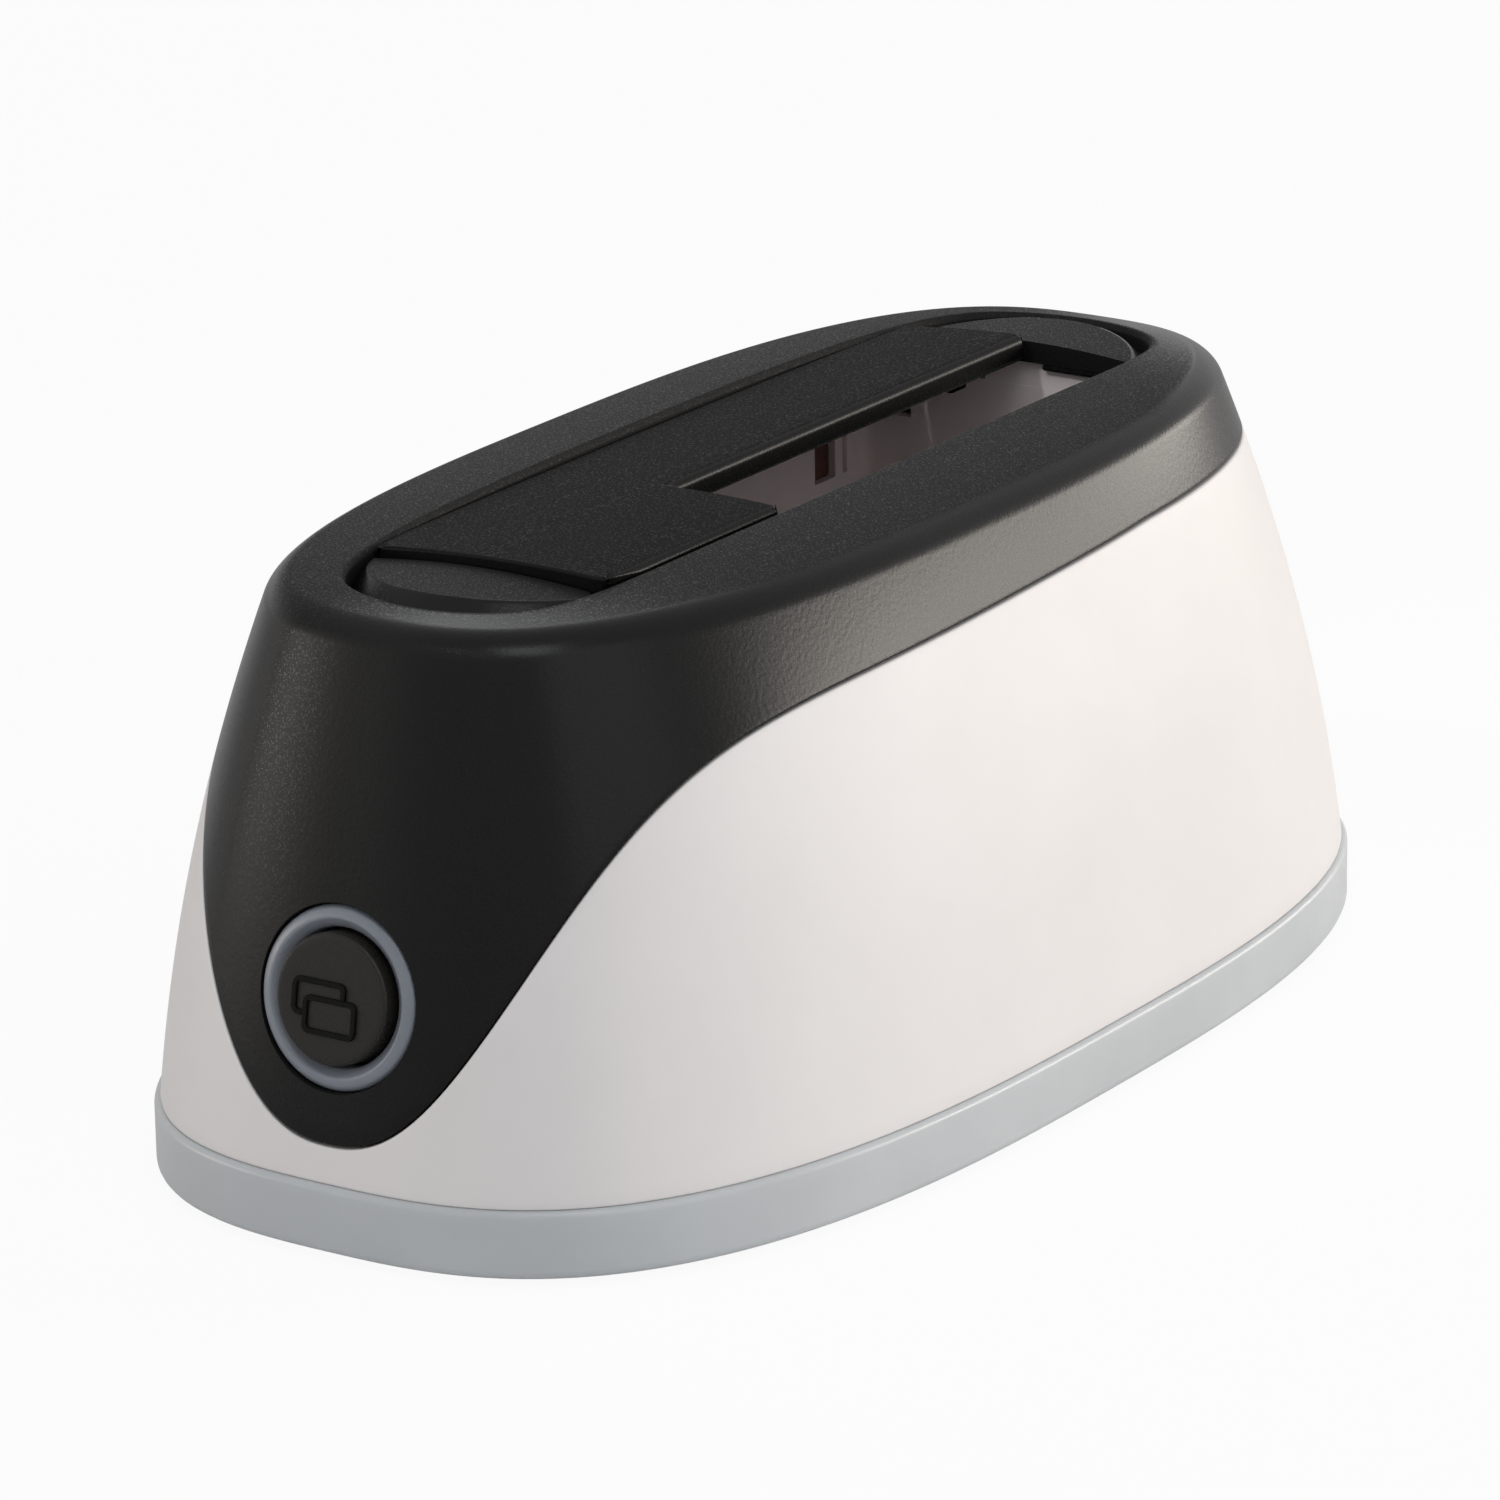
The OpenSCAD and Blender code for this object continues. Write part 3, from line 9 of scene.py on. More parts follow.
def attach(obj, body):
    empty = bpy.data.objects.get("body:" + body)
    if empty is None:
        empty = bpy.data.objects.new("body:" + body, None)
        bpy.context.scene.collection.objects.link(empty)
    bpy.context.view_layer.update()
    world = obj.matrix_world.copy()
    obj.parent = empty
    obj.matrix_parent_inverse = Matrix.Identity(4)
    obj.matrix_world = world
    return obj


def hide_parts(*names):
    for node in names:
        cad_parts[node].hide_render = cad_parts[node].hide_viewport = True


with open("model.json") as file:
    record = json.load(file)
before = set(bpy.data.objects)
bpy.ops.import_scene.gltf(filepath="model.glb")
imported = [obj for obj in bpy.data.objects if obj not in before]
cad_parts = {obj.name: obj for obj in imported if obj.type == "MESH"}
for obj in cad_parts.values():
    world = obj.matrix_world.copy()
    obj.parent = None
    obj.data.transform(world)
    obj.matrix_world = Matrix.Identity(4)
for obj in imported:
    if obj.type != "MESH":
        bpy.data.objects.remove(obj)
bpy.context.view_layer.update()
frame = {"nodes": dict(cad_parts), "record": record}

# Sizes of the part's source, in millimetres and degrees
MM = 0.001
BODY_L, BODY_W, BODY_H = 166.0, 87.8, 66.2
TOP_SHIFT, SHOULDER_R, END_DROP, SIDE_DROP, WALL = -0.85, 2.6, 2.2, 2.2, 2.2
BASE_SQUARE, TOP_SQUARE, SIDE_BOW, END_BOW = 2.82, 2.76, 0.73, 0.4
BASE_H, LEDGE, FLOOR_T, FOOT_GAP, FOOT_D, FOOT_SINK = 8.2, 0.6, 2.0, 0.8, 12.0, 0.7
TONGUE_Z, STRIP_Z, STRIP_RISE, SPREAD, POWER = 12.2, 51.0, 4.7, 33.1, 2.42
PART_GAP, LAP_H, LIP_GAP = 0.3, 2.6, 0.15
SLOT_L, SLOT_Y = 103.0, -0.3
FLAP_W, FLAP_T, FLAP_CROWN, FLAP_TILT, FLAP_EDGE = 29.5, 2.2, 0.95, 0.65, 0.9
FLAP_FRONT, FLAP_REAR, FLAP_LOW = -51.3, 50.0, 1.15
RIM_GAP, RIM_BOW, RIM_END_R, RIM_BEVEL = 0.35, 0.95, 18.0, 0.3
RIM_PAST_SLOT, LAND_END, LAND_SIDE = 13.1, 2.9, 11.0
RIM_W = FLAP_W + 2 * (RIM_GAP + RIM_BOW)
RIM_L = SLOT_L + 2 * RIM_PAST_SLOT
RIM_SIDE_R = (SLOT_L / 2) ** 2 / (2 * RIM_BOW)
TOP_L = RIM_L + 2 * (RIM_BEVEL + LAND_END + SHOULDER_R)
TOP_W = RIM_W + 2 * (RIM_BEVEL + LAND_SIDE + SHOULDER_R)
SEAM_L, SEAM_W, SHOULDER_Z = BODY_L - 2 * LEDGE, BODY_W - 2 * LEDGE, BODY_H - SHOULDER_R
NOTCH_X, NOTCH_Y = 1.1, -20.3
FLANGE_END, FLANGE_SIDE = 2.5, 9.3
BUTTON_Z, RING_R, RING_W = 27.2, 9.5, 2.3
NICHE_HALF, NICHE_Y, NICHE_LOW, NICHE_H, NICHE_WALL = 22.4, 73.75, 9.8, 13.0, 2.0

COLS = 480
TURNS = np.arange(COLS) * 2 * np.pi / COLS


def rise(z):
    return (z - BASE_H) / (SHOULDER_Z - BASE_H)


def ease(u, bow):
    return (1 - bow) * u + bow * u * u


def half_w(z):
    return SEAM_W / 2 + (TOP_W - SEAM_W) / 2 * ease(rise(z), SIDE_BOW)


def half_l(z):
    return SEAM_L / 2 + (TOP_L - SEAM_L) / 2 * ease(rise(z), END_BOW)


def oval(a, b, n, u):
    c, s = np.sin(u), -np.cos(u)
    k = (np.abs(c) ** n + np.abs(s) ** n) ** (-1 / n)
    return a * c * k, b * s * k


def loop(x, y, z):
    return np.stack([x, y, z + 0 * x], -1)


def skin(z, inset=0.0, u=TURNS):
    x, y = oval(half_w(z) - inset, half_l(z) - inset, BASE_SQUARE + (TOP_SQUARE - BASE_SQUARE) * rise(z), u)
    return loop(x, y + TOP_SHIFT * rise(z), z)


def crest(x, y):
    return BODY_H - END_DROP * (np.abs(y - TOP_SHIFT) / (TOP_L / 2)) ** 3 - SIDE_DROP * (np.abs(x) / (TOP_W / 2)) ** 3


def shoulder():
    """Height where the round starts, and the angle at which it runs into the slope of the top."""
    edge, inner = skin(SHOULDER_Z, SHOULDER_R), skin(SHOULDER_Z, SHOULDER_R + 1)
    last = np.pi / 2 - np.arctan(crest(inner[:, 0], inner[:, 1]) - crest(edge[:, 0], edge[:, 1]))
    end = skin(SHOULDER_Z, SHOULDER_R * (1 - np.cos(last)))
    return crest(end[:, 0], end[:, 1]) - SHOULDER_R * np.sin(last), last


def part_z():
    u = np.degrees(np.minimum(TURNS, 2 * np.pi - TURNS))
    high = STRIP_Z - TONGUE_Z + STRIP_RISE * np.minimum(u / 110, 1)
    return TONGUE_Z + high * (1 - np.exp(-(u / SPREAD) ** POWER))


def reach(along, across, edge, r):
    q = across * across / (2 * r)
    safe = np.maximum(q, 1e-9)
    curved = (np.sqrt(along * along + 4 * safe * edge) - along) / (2 * safe)
    return np.where(q < 1e-6, edge / np.maximum(along, 1e-9), curved)


def four_arc(a, b, end_r, u=TURNS):
    c, s = np.abs(np.sin(u)), np.abs(np.cos(u))
    side = reach(a * c, b * s, a, RIM_SIDE_R)
    end = reach(b * s, a * c, b, end_r)
    k = (side ** -10.0 + end ** -10.0) ** -0.1
    return a * np.sin(u) * k, SLOT_Y - b * np.cos(u) * k


def rim(grow=0.0, u=TURNS):
    return four_arc(RIM_W / 2 + grow, RIM_L / 2 + grow, RIM_END_R + grow, u)


UNDER_Z = float(crest(0, SLOT_Y - RIM_L / 2)) - WALL


class Build:
    """Collects loops, lathes and prisms in millimetres, then makes one object of them."""

    def __init__(self):
        self.points, self.faces = [], []

    def add(self, points, faces):
        n = len(self.points)
        self.points += [tuple(p) for p in points]
        self.faces += [tuple(i + n for i in f) for f in faces]

    def loft(self, loops, ring=False, ends=(False, False)):
        m, n = len(loops), len(loops[0])
        faces = []
        for j in range(m if ring else m - 1):
            k = (j + 1) % m
            faces += [(j * n + i, j * n + (i + 1) % n, k * n + (i + 1) % n, k * n + i) for i in range(n)]
        if ends[0]:
            faces.append(tuple(range(n - 1, -1, -1)))
        if ends[1]:
            faces.append(tuple((m - 1) * n + i for i in range(n)))
        self.add(np.concatenate(loops), faces)

    def lathe(self, profile, where, n=96, ring=True):
        """Turns (radius, height) pairs, outside first and going up, about an axis frame."""
        u = np.arange(n) * 2 * np.pi / n
        loops = []
        for r, h in profile:
            local = np.stack([r * np.cos(u), r * np.sin(u), 0 * u + h], -1)
            loops.append(np.array([where @ Vector(p) for p in local]))
        self.loft(loops, ring=ring, ends=(not ring, not ring))

    def prism(self, outline, low, high, where=Matrix()):
        loops = [np.array([where @ Vector((x, y, h)) for x, y in outline]) for h in (low, high)]
        self.loft(loops, ends=(True, True))

    def box(self, low, high):
        (a, b, c), (d, e, f) = low, high
        self.prism([(a, b), (d, b), (d, e), (a, e)], c, f)

    def make(self, name, sharp=40):
        mesh = bpy.data.meshes.new(name)
        mesh.from_pydata([tuple(v * MM for v in p) for p in self.points], [], self.faces)
        obj = bpy.data.objects.new(name, mesh)
        bpy.context.scene.collection.objects.link(obj)
        shade(obj, sharp)
        return obj


def shade(obj, sharp=40):
    obj.data.polygons.foreach_set("use_smooth", [True] * len(obj.data.polygons))
    obj.data.set_sharp_from_angle(angle=math.radians(sharp))


def cut(obj, tool, how="DIFFERENCE", sharp=40):
    """Booleans a tool into an object for good, and removes the tool."""
    mod = obj.modifiers.new("cut", "BOOLEAN")
    mod.object, mod.operation, mod.solver = tool, how, "EXACT"
    graph = bpy.context.evaluated_depsgraph_get()
    mesh = bpy.data.meshes.new_from_object(obj.evaluated_get(graph))
    obj.modifiers.clear()
    obj.data = mesh
    bpy.data.objects.remove(tool)
    shade(obj, sharp)


def bevel(obj, width, segments=3, angle=40):
    mod = obj.modifiers.new("edges", "BEVEL")
    mod.width, mod.segments, mod.limit_method = width * MM, segments, "ANGLE"
    mod.angle_limit, mod.miter_outer = math.radians(angle), "MITER_ARC"
    return mod


def arc(centre, r, start, end, steps):
    a = np.radians(np.linspace(start, end, steps + 1))
    return [(centre[0] + r * math.cos(t), centre[1] + r * math.sin(t)) for t in a]


def rounded(w, h, r, steps=6):
    """Outline of a rounded rectangle, counterclockwise."""
    x, y = w / 2 - r, h / 2 - r
    return (arc((x, -y), r, -90, 0, steps) + arc((x, y), r, 0, 90, steps)
            + arc((-x, y), r, 90, 180, steps) + arc((-x, -y), r, 180, 270, steps))


def rows(start, end, n):
    return [start + (end - start) * i / n for i in range(1, n + 1)]


# Node materials
def node_tree(name):
    mat = bpy.data.materials.new(name)
    mat.use_nodes = True
    nodes, links = mat.node_tree.nodes, mat.node_tree.links
    shader = nodes["Principled BSDF"]
    place = nodes.new("ShaderNodeTexCoord")
    return mat, nodes, links, shader, place.outputs["Object"]


def noise(nodes, links, place, scale, detail=2.0, rough=0.5):
    n = nodes.new("ShaderNodeTexNoise")
    n.inputs["Scale"].default_value = scale
    n.inputs["Detail"].default_value = detail
    n.inputs["Roughness"].default_value = rough
    links.new(place, n.inputs["Vector"])
    return n.outputs["Fac"]


def ramp(nodes, links, source, low, high, a, b):
    r = nodes.new("ShaderNodeValToRGB")
    r.color_ramp.elements[0].position, r.color_ramp.elements[1].position = low, high
    r.color_ramp.elements[0].color = (*a, 1)
    r.color_ramp.elements[1].color = (*b, 1)
    links.new(source, r.inputs["Fac"])
    return r.outputs["Color"]


def spread(nodes, links, source, low, high):
    m = nodes.new("ShaderNodeMapRange")
    m.inputs["To Min"].default_value, m.inputs["To Max"].default_value = low, high
    links.new(source, m.inputs["Value"])
    return m.outputs["Result"]


def bump(nodes, links, shader, height, strength, distance):
    b = nodes.new("ShaderNodeBump")
    b.inputs["Strength"].default_value = strength
    b.inputs["Distance"].default_value = distance * MM
    links.new(height, b.inputs["Height"])
    links.new(b.outputs["Normal"], shader.inputs["Normal"])


def plastic(name, dark, light, rough, grain, depth, specular=0.5, sub=0.0, sub_mm=1.0, strength=0.5):
    """Moulded plastic: mottled colour, uneven gloss and a fine grain of the given width in mm."""
    mat, nodes, links, shader, place = node_tree(name)
    fine = noise(nodes, links, place, 0.6 / (grain * MM), 2.0, 0.55)
    broad = noise(nodes, links, place, 55.0, 3.0)
    links.new(ramp(nodes, links, broad, 0.3, 0.7, dark, light), shader.inputs["Base Color"])
    links.new(spread(nodes, links, fine, rough - 0.08, rough + 0.08), shader.inputs["Roughness"])
    bump(nodes, links, shader, fine, strength, depth)
    shader.inputs["Specular IOR Level"].default_value = specular
    if sub:
        shader.inputs["Subsurface Weight"].default_value = sub
        shader.inputs["Subsurface Radius"].default_value = (1.0, 1.0, 1.0)
        shader.inputs["Subsurface Scale"].default_value = sub_mm * MM
    return mat


def math_node(nodes, links, how, *sources):
    m = nodes.new("ShaderNodeMath")
    m.operation = how
    for i, source in enumerate(sources):
        links.new(source, m.inputs[i])
    return m.outputs[0]


def fade(nodes, links, source, start, end, low, high):
    m = nodes.new("ShaderNodeMapRange")
    m.interpolation_type = "SMOOTHSTEP"
    for name, value in (("From Min", start), ("From Max", end), ("To Min", low), ("To Max", high)):
        m.inputs[name].default_value = value
    links.new(source, m.inputs["Value"])
    return m.outputs["Result"]


def spark(name, dark, light, rough, specular, cell=0.45, depth=0.03, side=0.3):
    """Spark-eroded black plastic: soft pebbles, fine specks that glint, and smoother outward flanks and edges."""
    mat, nodes, links, shader, place = node_tree(name)
    pebble = noise(nodes, links, place, 0.7 / (cell * MM), 1.0, 0.5)
    speck = noise(nodes, links, place, 1.7 / (cell * MM), 1.0, 0.5)
    links.new(ramp(nodes, links, speck, 0.35, 0.75, dark, light), shader.inputs["Base Color"])
    normal, spot = nodes.new("ShaderNodeSeparateXYZ"), nodes.new("ShaderNodeSeparateXYZ")
    links.new(nodes["Texture Coordinate"].outputs["Normal"], normal.inputs[0])
    links.new(place, spot.inputs[0])
    flank, tip = [math_node(nodes, links, "MULTIPLY", normal.outputs[k],
                            math_node(nodes, links, "SIGN", spot.outputs[k])) for k in "XY"]
    worn = math_node(nodes, links, "MULTIPLY", fade(nodes, links, tip, 0.03, 0.1, 0, 1),
                     fade(nodes, links, tip, 0.7, 0.92, 1, 0))
    worn = math_node(nodes, links, "MULTIPLY", worn, fade(nodes, links, spot.outputs["X"], -0.012, 0.008, 0, 1))
    worn = math_node(nodes, links, "MAXIMUM", fade(nodes, links, flank, 0.2, 0.6, 0, 1), worn)
    worn = math_node(nodes, links, "MAXIMUM", fade(nodes, links, tip, 0.75, 0.95, 0, 0.72), worn)
    gloss = math_node(nodes, links, "ADD", spread(nodes, links, worn, rough, side),
                      fade(nodes, links, speck, 0.56, 0.66, 0.03, -0.22))
    links.new(math_node(nodes, links, "MAXIMUM", gloss, spread(nodes, links, speck, 0.2, 0.3)),
              shader.inputs["Roughness"])
    bump(nodes, links, shader, pebble, 0.5, depth)
    shader.inputs["Specular IOR Level"].default_value = specular
    return mat


def metal(name, dark, light, rough):
    """Plated metal with fine brushed streaks and faint tarnish."""
    mat, nodes, links, shader, place = node_tree(name)
    stretch = nodes.new("ShaderNodeMapping")
    stretch.inputs["Scale"].default_value = (1.0, 0.06, 1.0)
    links.new(place, stretch.inputs["Vector"])
    streak = noise(nodes, links, stretch.outputs["Vector"], 9000.0, 2.0)
    stain = noise(nodes, links, place, 320.0, 3.0)
    links.new(ramp(nodes, links, stain, 0.3, 0.75, dark, light), shader.inputs["Base Color"])
    links.new(spread(nodes, links, streak, rough - 0.1, rough + 0.12), shader.inputs["Roughness"])
    bump(nodes, links, shader, streak, 0.15, 0.02)
    shader.inputs["Metallic"].default_value = 1.0
    return mat


def laminate(name, dark, light):
    """Circuit board: solder mask over tracks and a woven core."""
    mat, nodes, links, shader, place = node_tree(name)
    tracks = nodes.new("ShaderNodeTexBrick")
    tracks.inputs["Scale"].default_value = 260.0
    tracks.inputs["Mortar Size"].default_value = 0.03
    tracks.inputs["Color1"].default_value = (*dark, 1)
    tracks.inputs["Color2"].default_value = tuple(0.5 * (a + b) for a, b in zip(dark, light)) + (1,)
    tracks.inputs["Mortar"].default_value = (*light, 1)
    links.new(place, tracks.inputs["Vector"])
    links.new(tracks.outputs["Color"], shader.inputs["Base Color"])
    weave = noise(nodes, links, place, 2600.0, 2.0)
    links.new(spread(nodes, links, weave, 0.25, 0.45), shader.inputs["Roughness"])
    bump(nodes, links, shader, tracks.outputs["Fac"], 0.2, 0.03)
    return mat


LOOK = {
    "cover_plastic": spark("cover_plastic", (0.001, 0.001, 0.001), (0.004, 0.004, 0.004), 0.70, 0.19, 0.36, 0.03, 0.25),
    "black_plastic": spark("black_plastic", (0.002, 0.002, 0.002), (0.008, 0.008, 0.008), 0.80, 0.10, side=0.26),
    "cap_plastic": spark("cap_plastic", (0.008, 0.0072, 0.0062), (0.020, 0.018, 0.0155), 0.62, 0.25, 0.35, 0.02, 0.4),
    # Near-black for the pictogram's frames: painted shade for their dark outlines
    "icon_plastic": spark("icon_plastic", (0.001, 0.001, 0.001), (0.002, 0.002, 0.002), 0.45, 0.10, 0.35, 0.01, 0.4),
    "white_plastic": plastic("white_plastic", (0.80, 0.775, 0.765), (0.83, 0.805, 0.795), 0.48, 0.5, 0.006, 0.3),
    "grey_plastic": plastic("grey_plastic", (0.52, 0.545, 0.56), (0.57, 0.595, 0.61), 0.34, 0.6, 0.01,
                            sub=0.35, sub_mm=2.0),
    "bay_plastic": plastic("bay_plastic", (0.78, 0.705, 0.69), (0.83, 0.755, 0.74), 0.55, 0.4, 0.02),
    # Dark reddish brown for the plate at the back of the bay's recess: painted shade
    "recess_shade_plastic": plastic("recess_shade_plastic", (0.085, 0.030, 0.022), (0.125, 0.045, 0.032), 0.3, 0.4, 0.01),
    "light_ring": plastic("light_ring", (0.20, 0.222, 0.255), (0.25, 0.275, 0.31), 0.34, 0.3, 0.03,
                          sub=0.5, sub_mm=1.2),
    "rubber": plastic("rubber", (0.012, 0.012, 0.013), (0.025, 0.025, 0.026), 0.75, 0.4, 0.05, 0.3),
    "steel": metal("steel", (0.42, 0.42, 0.43), (0.62, 0.62, 0.63), 0.32),
    "tin": metal("tin", (0.58, 0.58, 0.57), (0.74, 0.74, 0.73), 0.30),
    "contact": metal("contact", (0.72, 0.50, 0.20), (0.86, 0.64, 0.30), 0.25),
    "can": metal("can", (0.50, 0.51, 0.53), (0.66, 0.67, 0.69), 0.35),
    "ferrite": plastic("ferrite", (0.04, 0.04, 0.043), (0.075, 0.075, 0.08), 0.6, 0.3, 0.05, 0.4),
    "board": laminate("board", (0.008, 0.07, 0.035), (0.02, 0.13, 0.06)),
    "dark_plastic": plastic("dark_plastic", (0.010, 0.010, 0.011), (0.022, 0.022, 0.024), 0.45, 0.35, 0.03, 0.4),
    "blue_plastic": plastic("blue_plastic", (0.015, 0.10, 0.42), (0.02, 0.14, 0.52), 0.4, 0.4, 0.02),
    "led": plastic("led", (0.68, 0.70, 0.72), (0.76, 0.78, 0.80), 0.25, 0.4, 0.01, sub=0.3, sub_mm=0.6),
    "cable": plastic("cable", (0.60, 0.59, 0.55), (0.70, 0.69, 0.65), 0.5, 0.5, 0.02),
}


def dress(obj, look, body, slot, *nodes):
    obj.data.materials.clear()
    obj.data.materials.append(LOOK[look])
    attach(obj, body)
    if nodes:
        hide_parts(*nodes)


# Every CAD node that stays in view takes the look of its slot
for item in frame["record"]["subparts"]:
    obj = frame["nodes"][item["node"]]
    obj.data.materials.clear()
    obj.data.materials.append(LOOK[item["material_slot"]])

# Axis of the button: X across, Y up the face, Z out of it
button_y = -float(half_l(BUTTON_Z)) + TOP_SHIFT * float(rise(BUTTON_Z))
front = [TOP_SHIFT * float(rise(BUTTON_Z + d)) - float(half_l(BUTTON_Z + d)) for d in (-9, 9)]
lean = math.atan2(front[1] - front[0], 18)
AT_BUTTON = Matrix.Translation((0, button_y, BUTTON_Z)) @ Matrix.Rotation(math.pi / 2 - lean, 4, "X")

# Black cover: tongue, shoulder, crowned top, bevelled rim and the lip inside
low, (high, last) = part_z() + PART_GAP / 2, shoulder()
edge_r = 0.22
loops = [skin(low, WALL / 2 + LIP_GAP)]
loops += [skin(low + edge_r * (1 - math.cos(t)), edge_r * (1 - math.sin(t)))
          for t in np.radians([0, 22, 45, 68, 90])]
loops += [skin(low + edge_r + (high - low - edge_r) * f) for f in rows(0, 1, 24)]
for f in rows(0, 1, 14):
    loops.append(skin(high + SHOULDER_R * np.sin(last * f), SHOULDER_R * (1 - np.cos(last * f))))
start = loops[-1]
x, y = rim(RIM_BEVEL + 0.3)
extra = start[:, 2] - crest(start[:, 0], start[:, 1])
for f in rows(0, 1, 8):
    px, py = start[:, 0] + (x - start[:, 0]) * f, start[:, 1] + (y - start[:, 1]) * f
    loops.append(loop(px, py, crest(px, py) + extra * (1 - f) ** 2))
for grow, drop in ((0.45, 0.01), (0.36, 0.05), (0.29, 0.12), (0.05, 0.6), (0.01, 0.68), (0.0, 0.78)):
    x, y = rim(grow)
    loops.append(loop(x, y, crest(x, y) - drop))
x, y = rim()
loops.append(loop(x, y, np.full(COLS, UNDER_Z)))
x, y = four_arc(RIM_W / 2 + FLANGE_SIDE, RIM_L / 2 + FLANGE_END, RIM_END_R + FLANGE_SIDE)
loops.append(loop(x, y, np.full(COLS, UNDER_Z)))
inner_z = UNDER_Z - WALL
loops += [skin(inner_z + (low - LAP_H - inner_z) * f, WALL) for f in [0] + rows(0, 1, 8)]
loops.append(skin(low - LAP_H, WALL / 2 + LIP_GAP))
cover = Build()
cover.loft(loops, ring=True)
cover = cover.make("cover_skin")
hole = Build()
hole_r = RING_R + 0.12
lead, lead_h = 0.3, 0.55
hole.lathe([(hole_r, -9), (hole_r, -lead_h)]
           + [(hole_r + lead * (1 - math.cos(t)), -lead_h + lead_h * math.sin(t)) for t in np.radians([30, 60, 90])]
           + [(hole_r + lead, 3)], AT_BUTTON, 128, ring=False)
cut(cover, hole.make("hole"))
dress(cover, "cover_plastic", "housing", "black_plastic", "top_cover")

# White shell below the parting line, with the socket niche at its rear
high, shell_low = part_z() - PART_GAP / 2, BASE_H + 0.02
loops = [skin(shell_low + edge_r * (1 - math.cos(t)), edge_r * (1 - math.sin(t)))
         for t in np.radians([0, 30, 60, 90])]
loops += [skin(BASE_H + edge_r + (high - 2 * edge_r - BASE_H) * f) for f in rows(0, 1, 26)]
loops += [skin(high - edge_r * (1 - math.sin(t)), edge_r * (1 - math.cos(t)))
          for t in np.radians([22, 45, 68, 90])]
loops += [skin(high, WALL / 2), skin(high - LAP_H, WALL / 2)]
loops += [skin(high - LAP_H + (shell_low - high + LAP_H) * f, WALL) for f in [0] + rows(0, 1, 8)]
shell = Build()
shell.loft(loops, ring=True)
shell = shell.make("shell_skin")
BACK = Matrix.Rotation(math.pi / 2, 4, "X")
niche_mid = NICHE_LOW + NICHE_H / 2


def niche_prism(grow, start, name):
    b = Build()
    shape = [(x, z + niche_mid) for x, z in rounded(2 * (NICHE_HALF + grow), NICHE_H + 2 * grow, 1.2 + grow)]
    b.prism(shape, -BODY_L, -start, BACK)
    return b.make(name)


block = niche_prism(NICHE_WALL, NICHE_Y - NICHE_WALL, "block")
inside = Build()
inside.loft([skin(np.full(COLS, z), WALL / 2) for z in np.linspace(shell_low, 30, 8)], ends=(True, True))
cut(block, inside.make("inside"), "INTERSECT")
cut(shell, block, "UNION")
cut(shell, niche_prism(0, NICHE_Y, "niche"))
# Windows for the rocker switch, the USB socket and the power inlet: x, z, width and height
SOCKETS = ((-12.6, 15.7, 13.4, 9.0), (3.2, 15.7, 12.0, 10.6), (15.8, 15.9, 9.2, 11.0))
window_gap = 0.25
windows = Build()
for x, z, w, h in SOCKETS:
    a, b = w / 2 + window_gap, h / 2 + window_gap
    windows.box((x - a, NICHE_Y - 8, z - b), (x + a, NICHE_Y + 1, z + b))
cut(shell, windows.make("windows"))
dress(shell, "white_plastic", "housing", "white_plastic", "main_shell")

# Grey base: rounded skirt, floor, feet pockets, screw wells and posts
def base_loop(inset, z):
    x, y = oval(BODY_W / 2 - inset, BODY_L / 2 - inset, BASE_SQUARE, TURNS)
    return loop(x, y, np.full(COLS, z))


low_r, top_r = 1.2, 0.75
profile = [(low_r - low_r * math.sin(t), FOOT_GAP + low_r - low_r * math.cos(t)) for t in np.radians(rows(0, 90, 6))]
profile = [(low_r, FOOT_GAP)] + profile + [(0, z) for z in rows(FOOT_GAP + low_r, BASE_H - top_r, 4)]
profile += [(LEDGE * (1 - math.cos(t)), BASE_H - top_r + top_r * math.sin(t)) for t in np.radians(rows(0, 90, 7))]
loops = [base_loop(i, z) for i, z in profile]
lip = WALL + LIP_GAP
floor_z = FOOT_GAP + FLOOR_T
loops += [skin(BASE_H, lip), skin(BASE_H + 2, lip), skin(BASE_H + 2, lip + 1)]
last = skin(BASE_H, lip + 1)
last[:, 2] = floor_z
base = Build()
base.loft(loops + [last], ends=(True, True))
base = base.make("base_skin")
gap = Build()
gap.box((-NICHE_HALF - 4, NICHE_Y - 4, BASE_H + 0.001), (NICHE_HALF + 4, BODY_L, BASE_H + 4))
cut(base, gap.make("gap"))
# Screw places: shell corners, case posts, bay and main board
corners = [skin(22.0, WALL + 1.8, np.array([math.radians(a)]))[0] for a in (45, 135, 225, 315)]
posts = [(22.05, -20.0), (-12.6, 58.1)]
bays = [(x, y) for x in (-17.25, 11.75) for y in (-47.6, 47.0)]
holds = [(x, y) for x in (-21.5, 21.5) for y in (-28.5, 36.0)]
POST_TOP, FOOT_X, FOOT_Y = 36.14, 26, 47
wells = Build()
pocket_r = FOOT_D / 2 + 0.1
for x in (-FOOT_X, FOOT_X):
    for y in (-FOOT_Y, FOOT_Y):
        wells.lathe([(pocket_r, -1), (pocket_r, FOOT_GAP + FOOT_SINK)],
                    Matrix.Translation((x, y, 0)), 96, ring=False)
for p in corners:
    wells.lathe([(3.0, -1), (3.0, 7.15), (1.3, 7.15), (1.3, 12)], Matrix.Translation((p[0], p[1], 0)), 64, ring=False)
for p in posts:
    wells.lathe([(2.8, -1), (2.8, 24.14), (1.4, 24.14), (1.4, 38)], Matrix.Translation((*p, 0)), 64, ring=False)
ribs = Build()
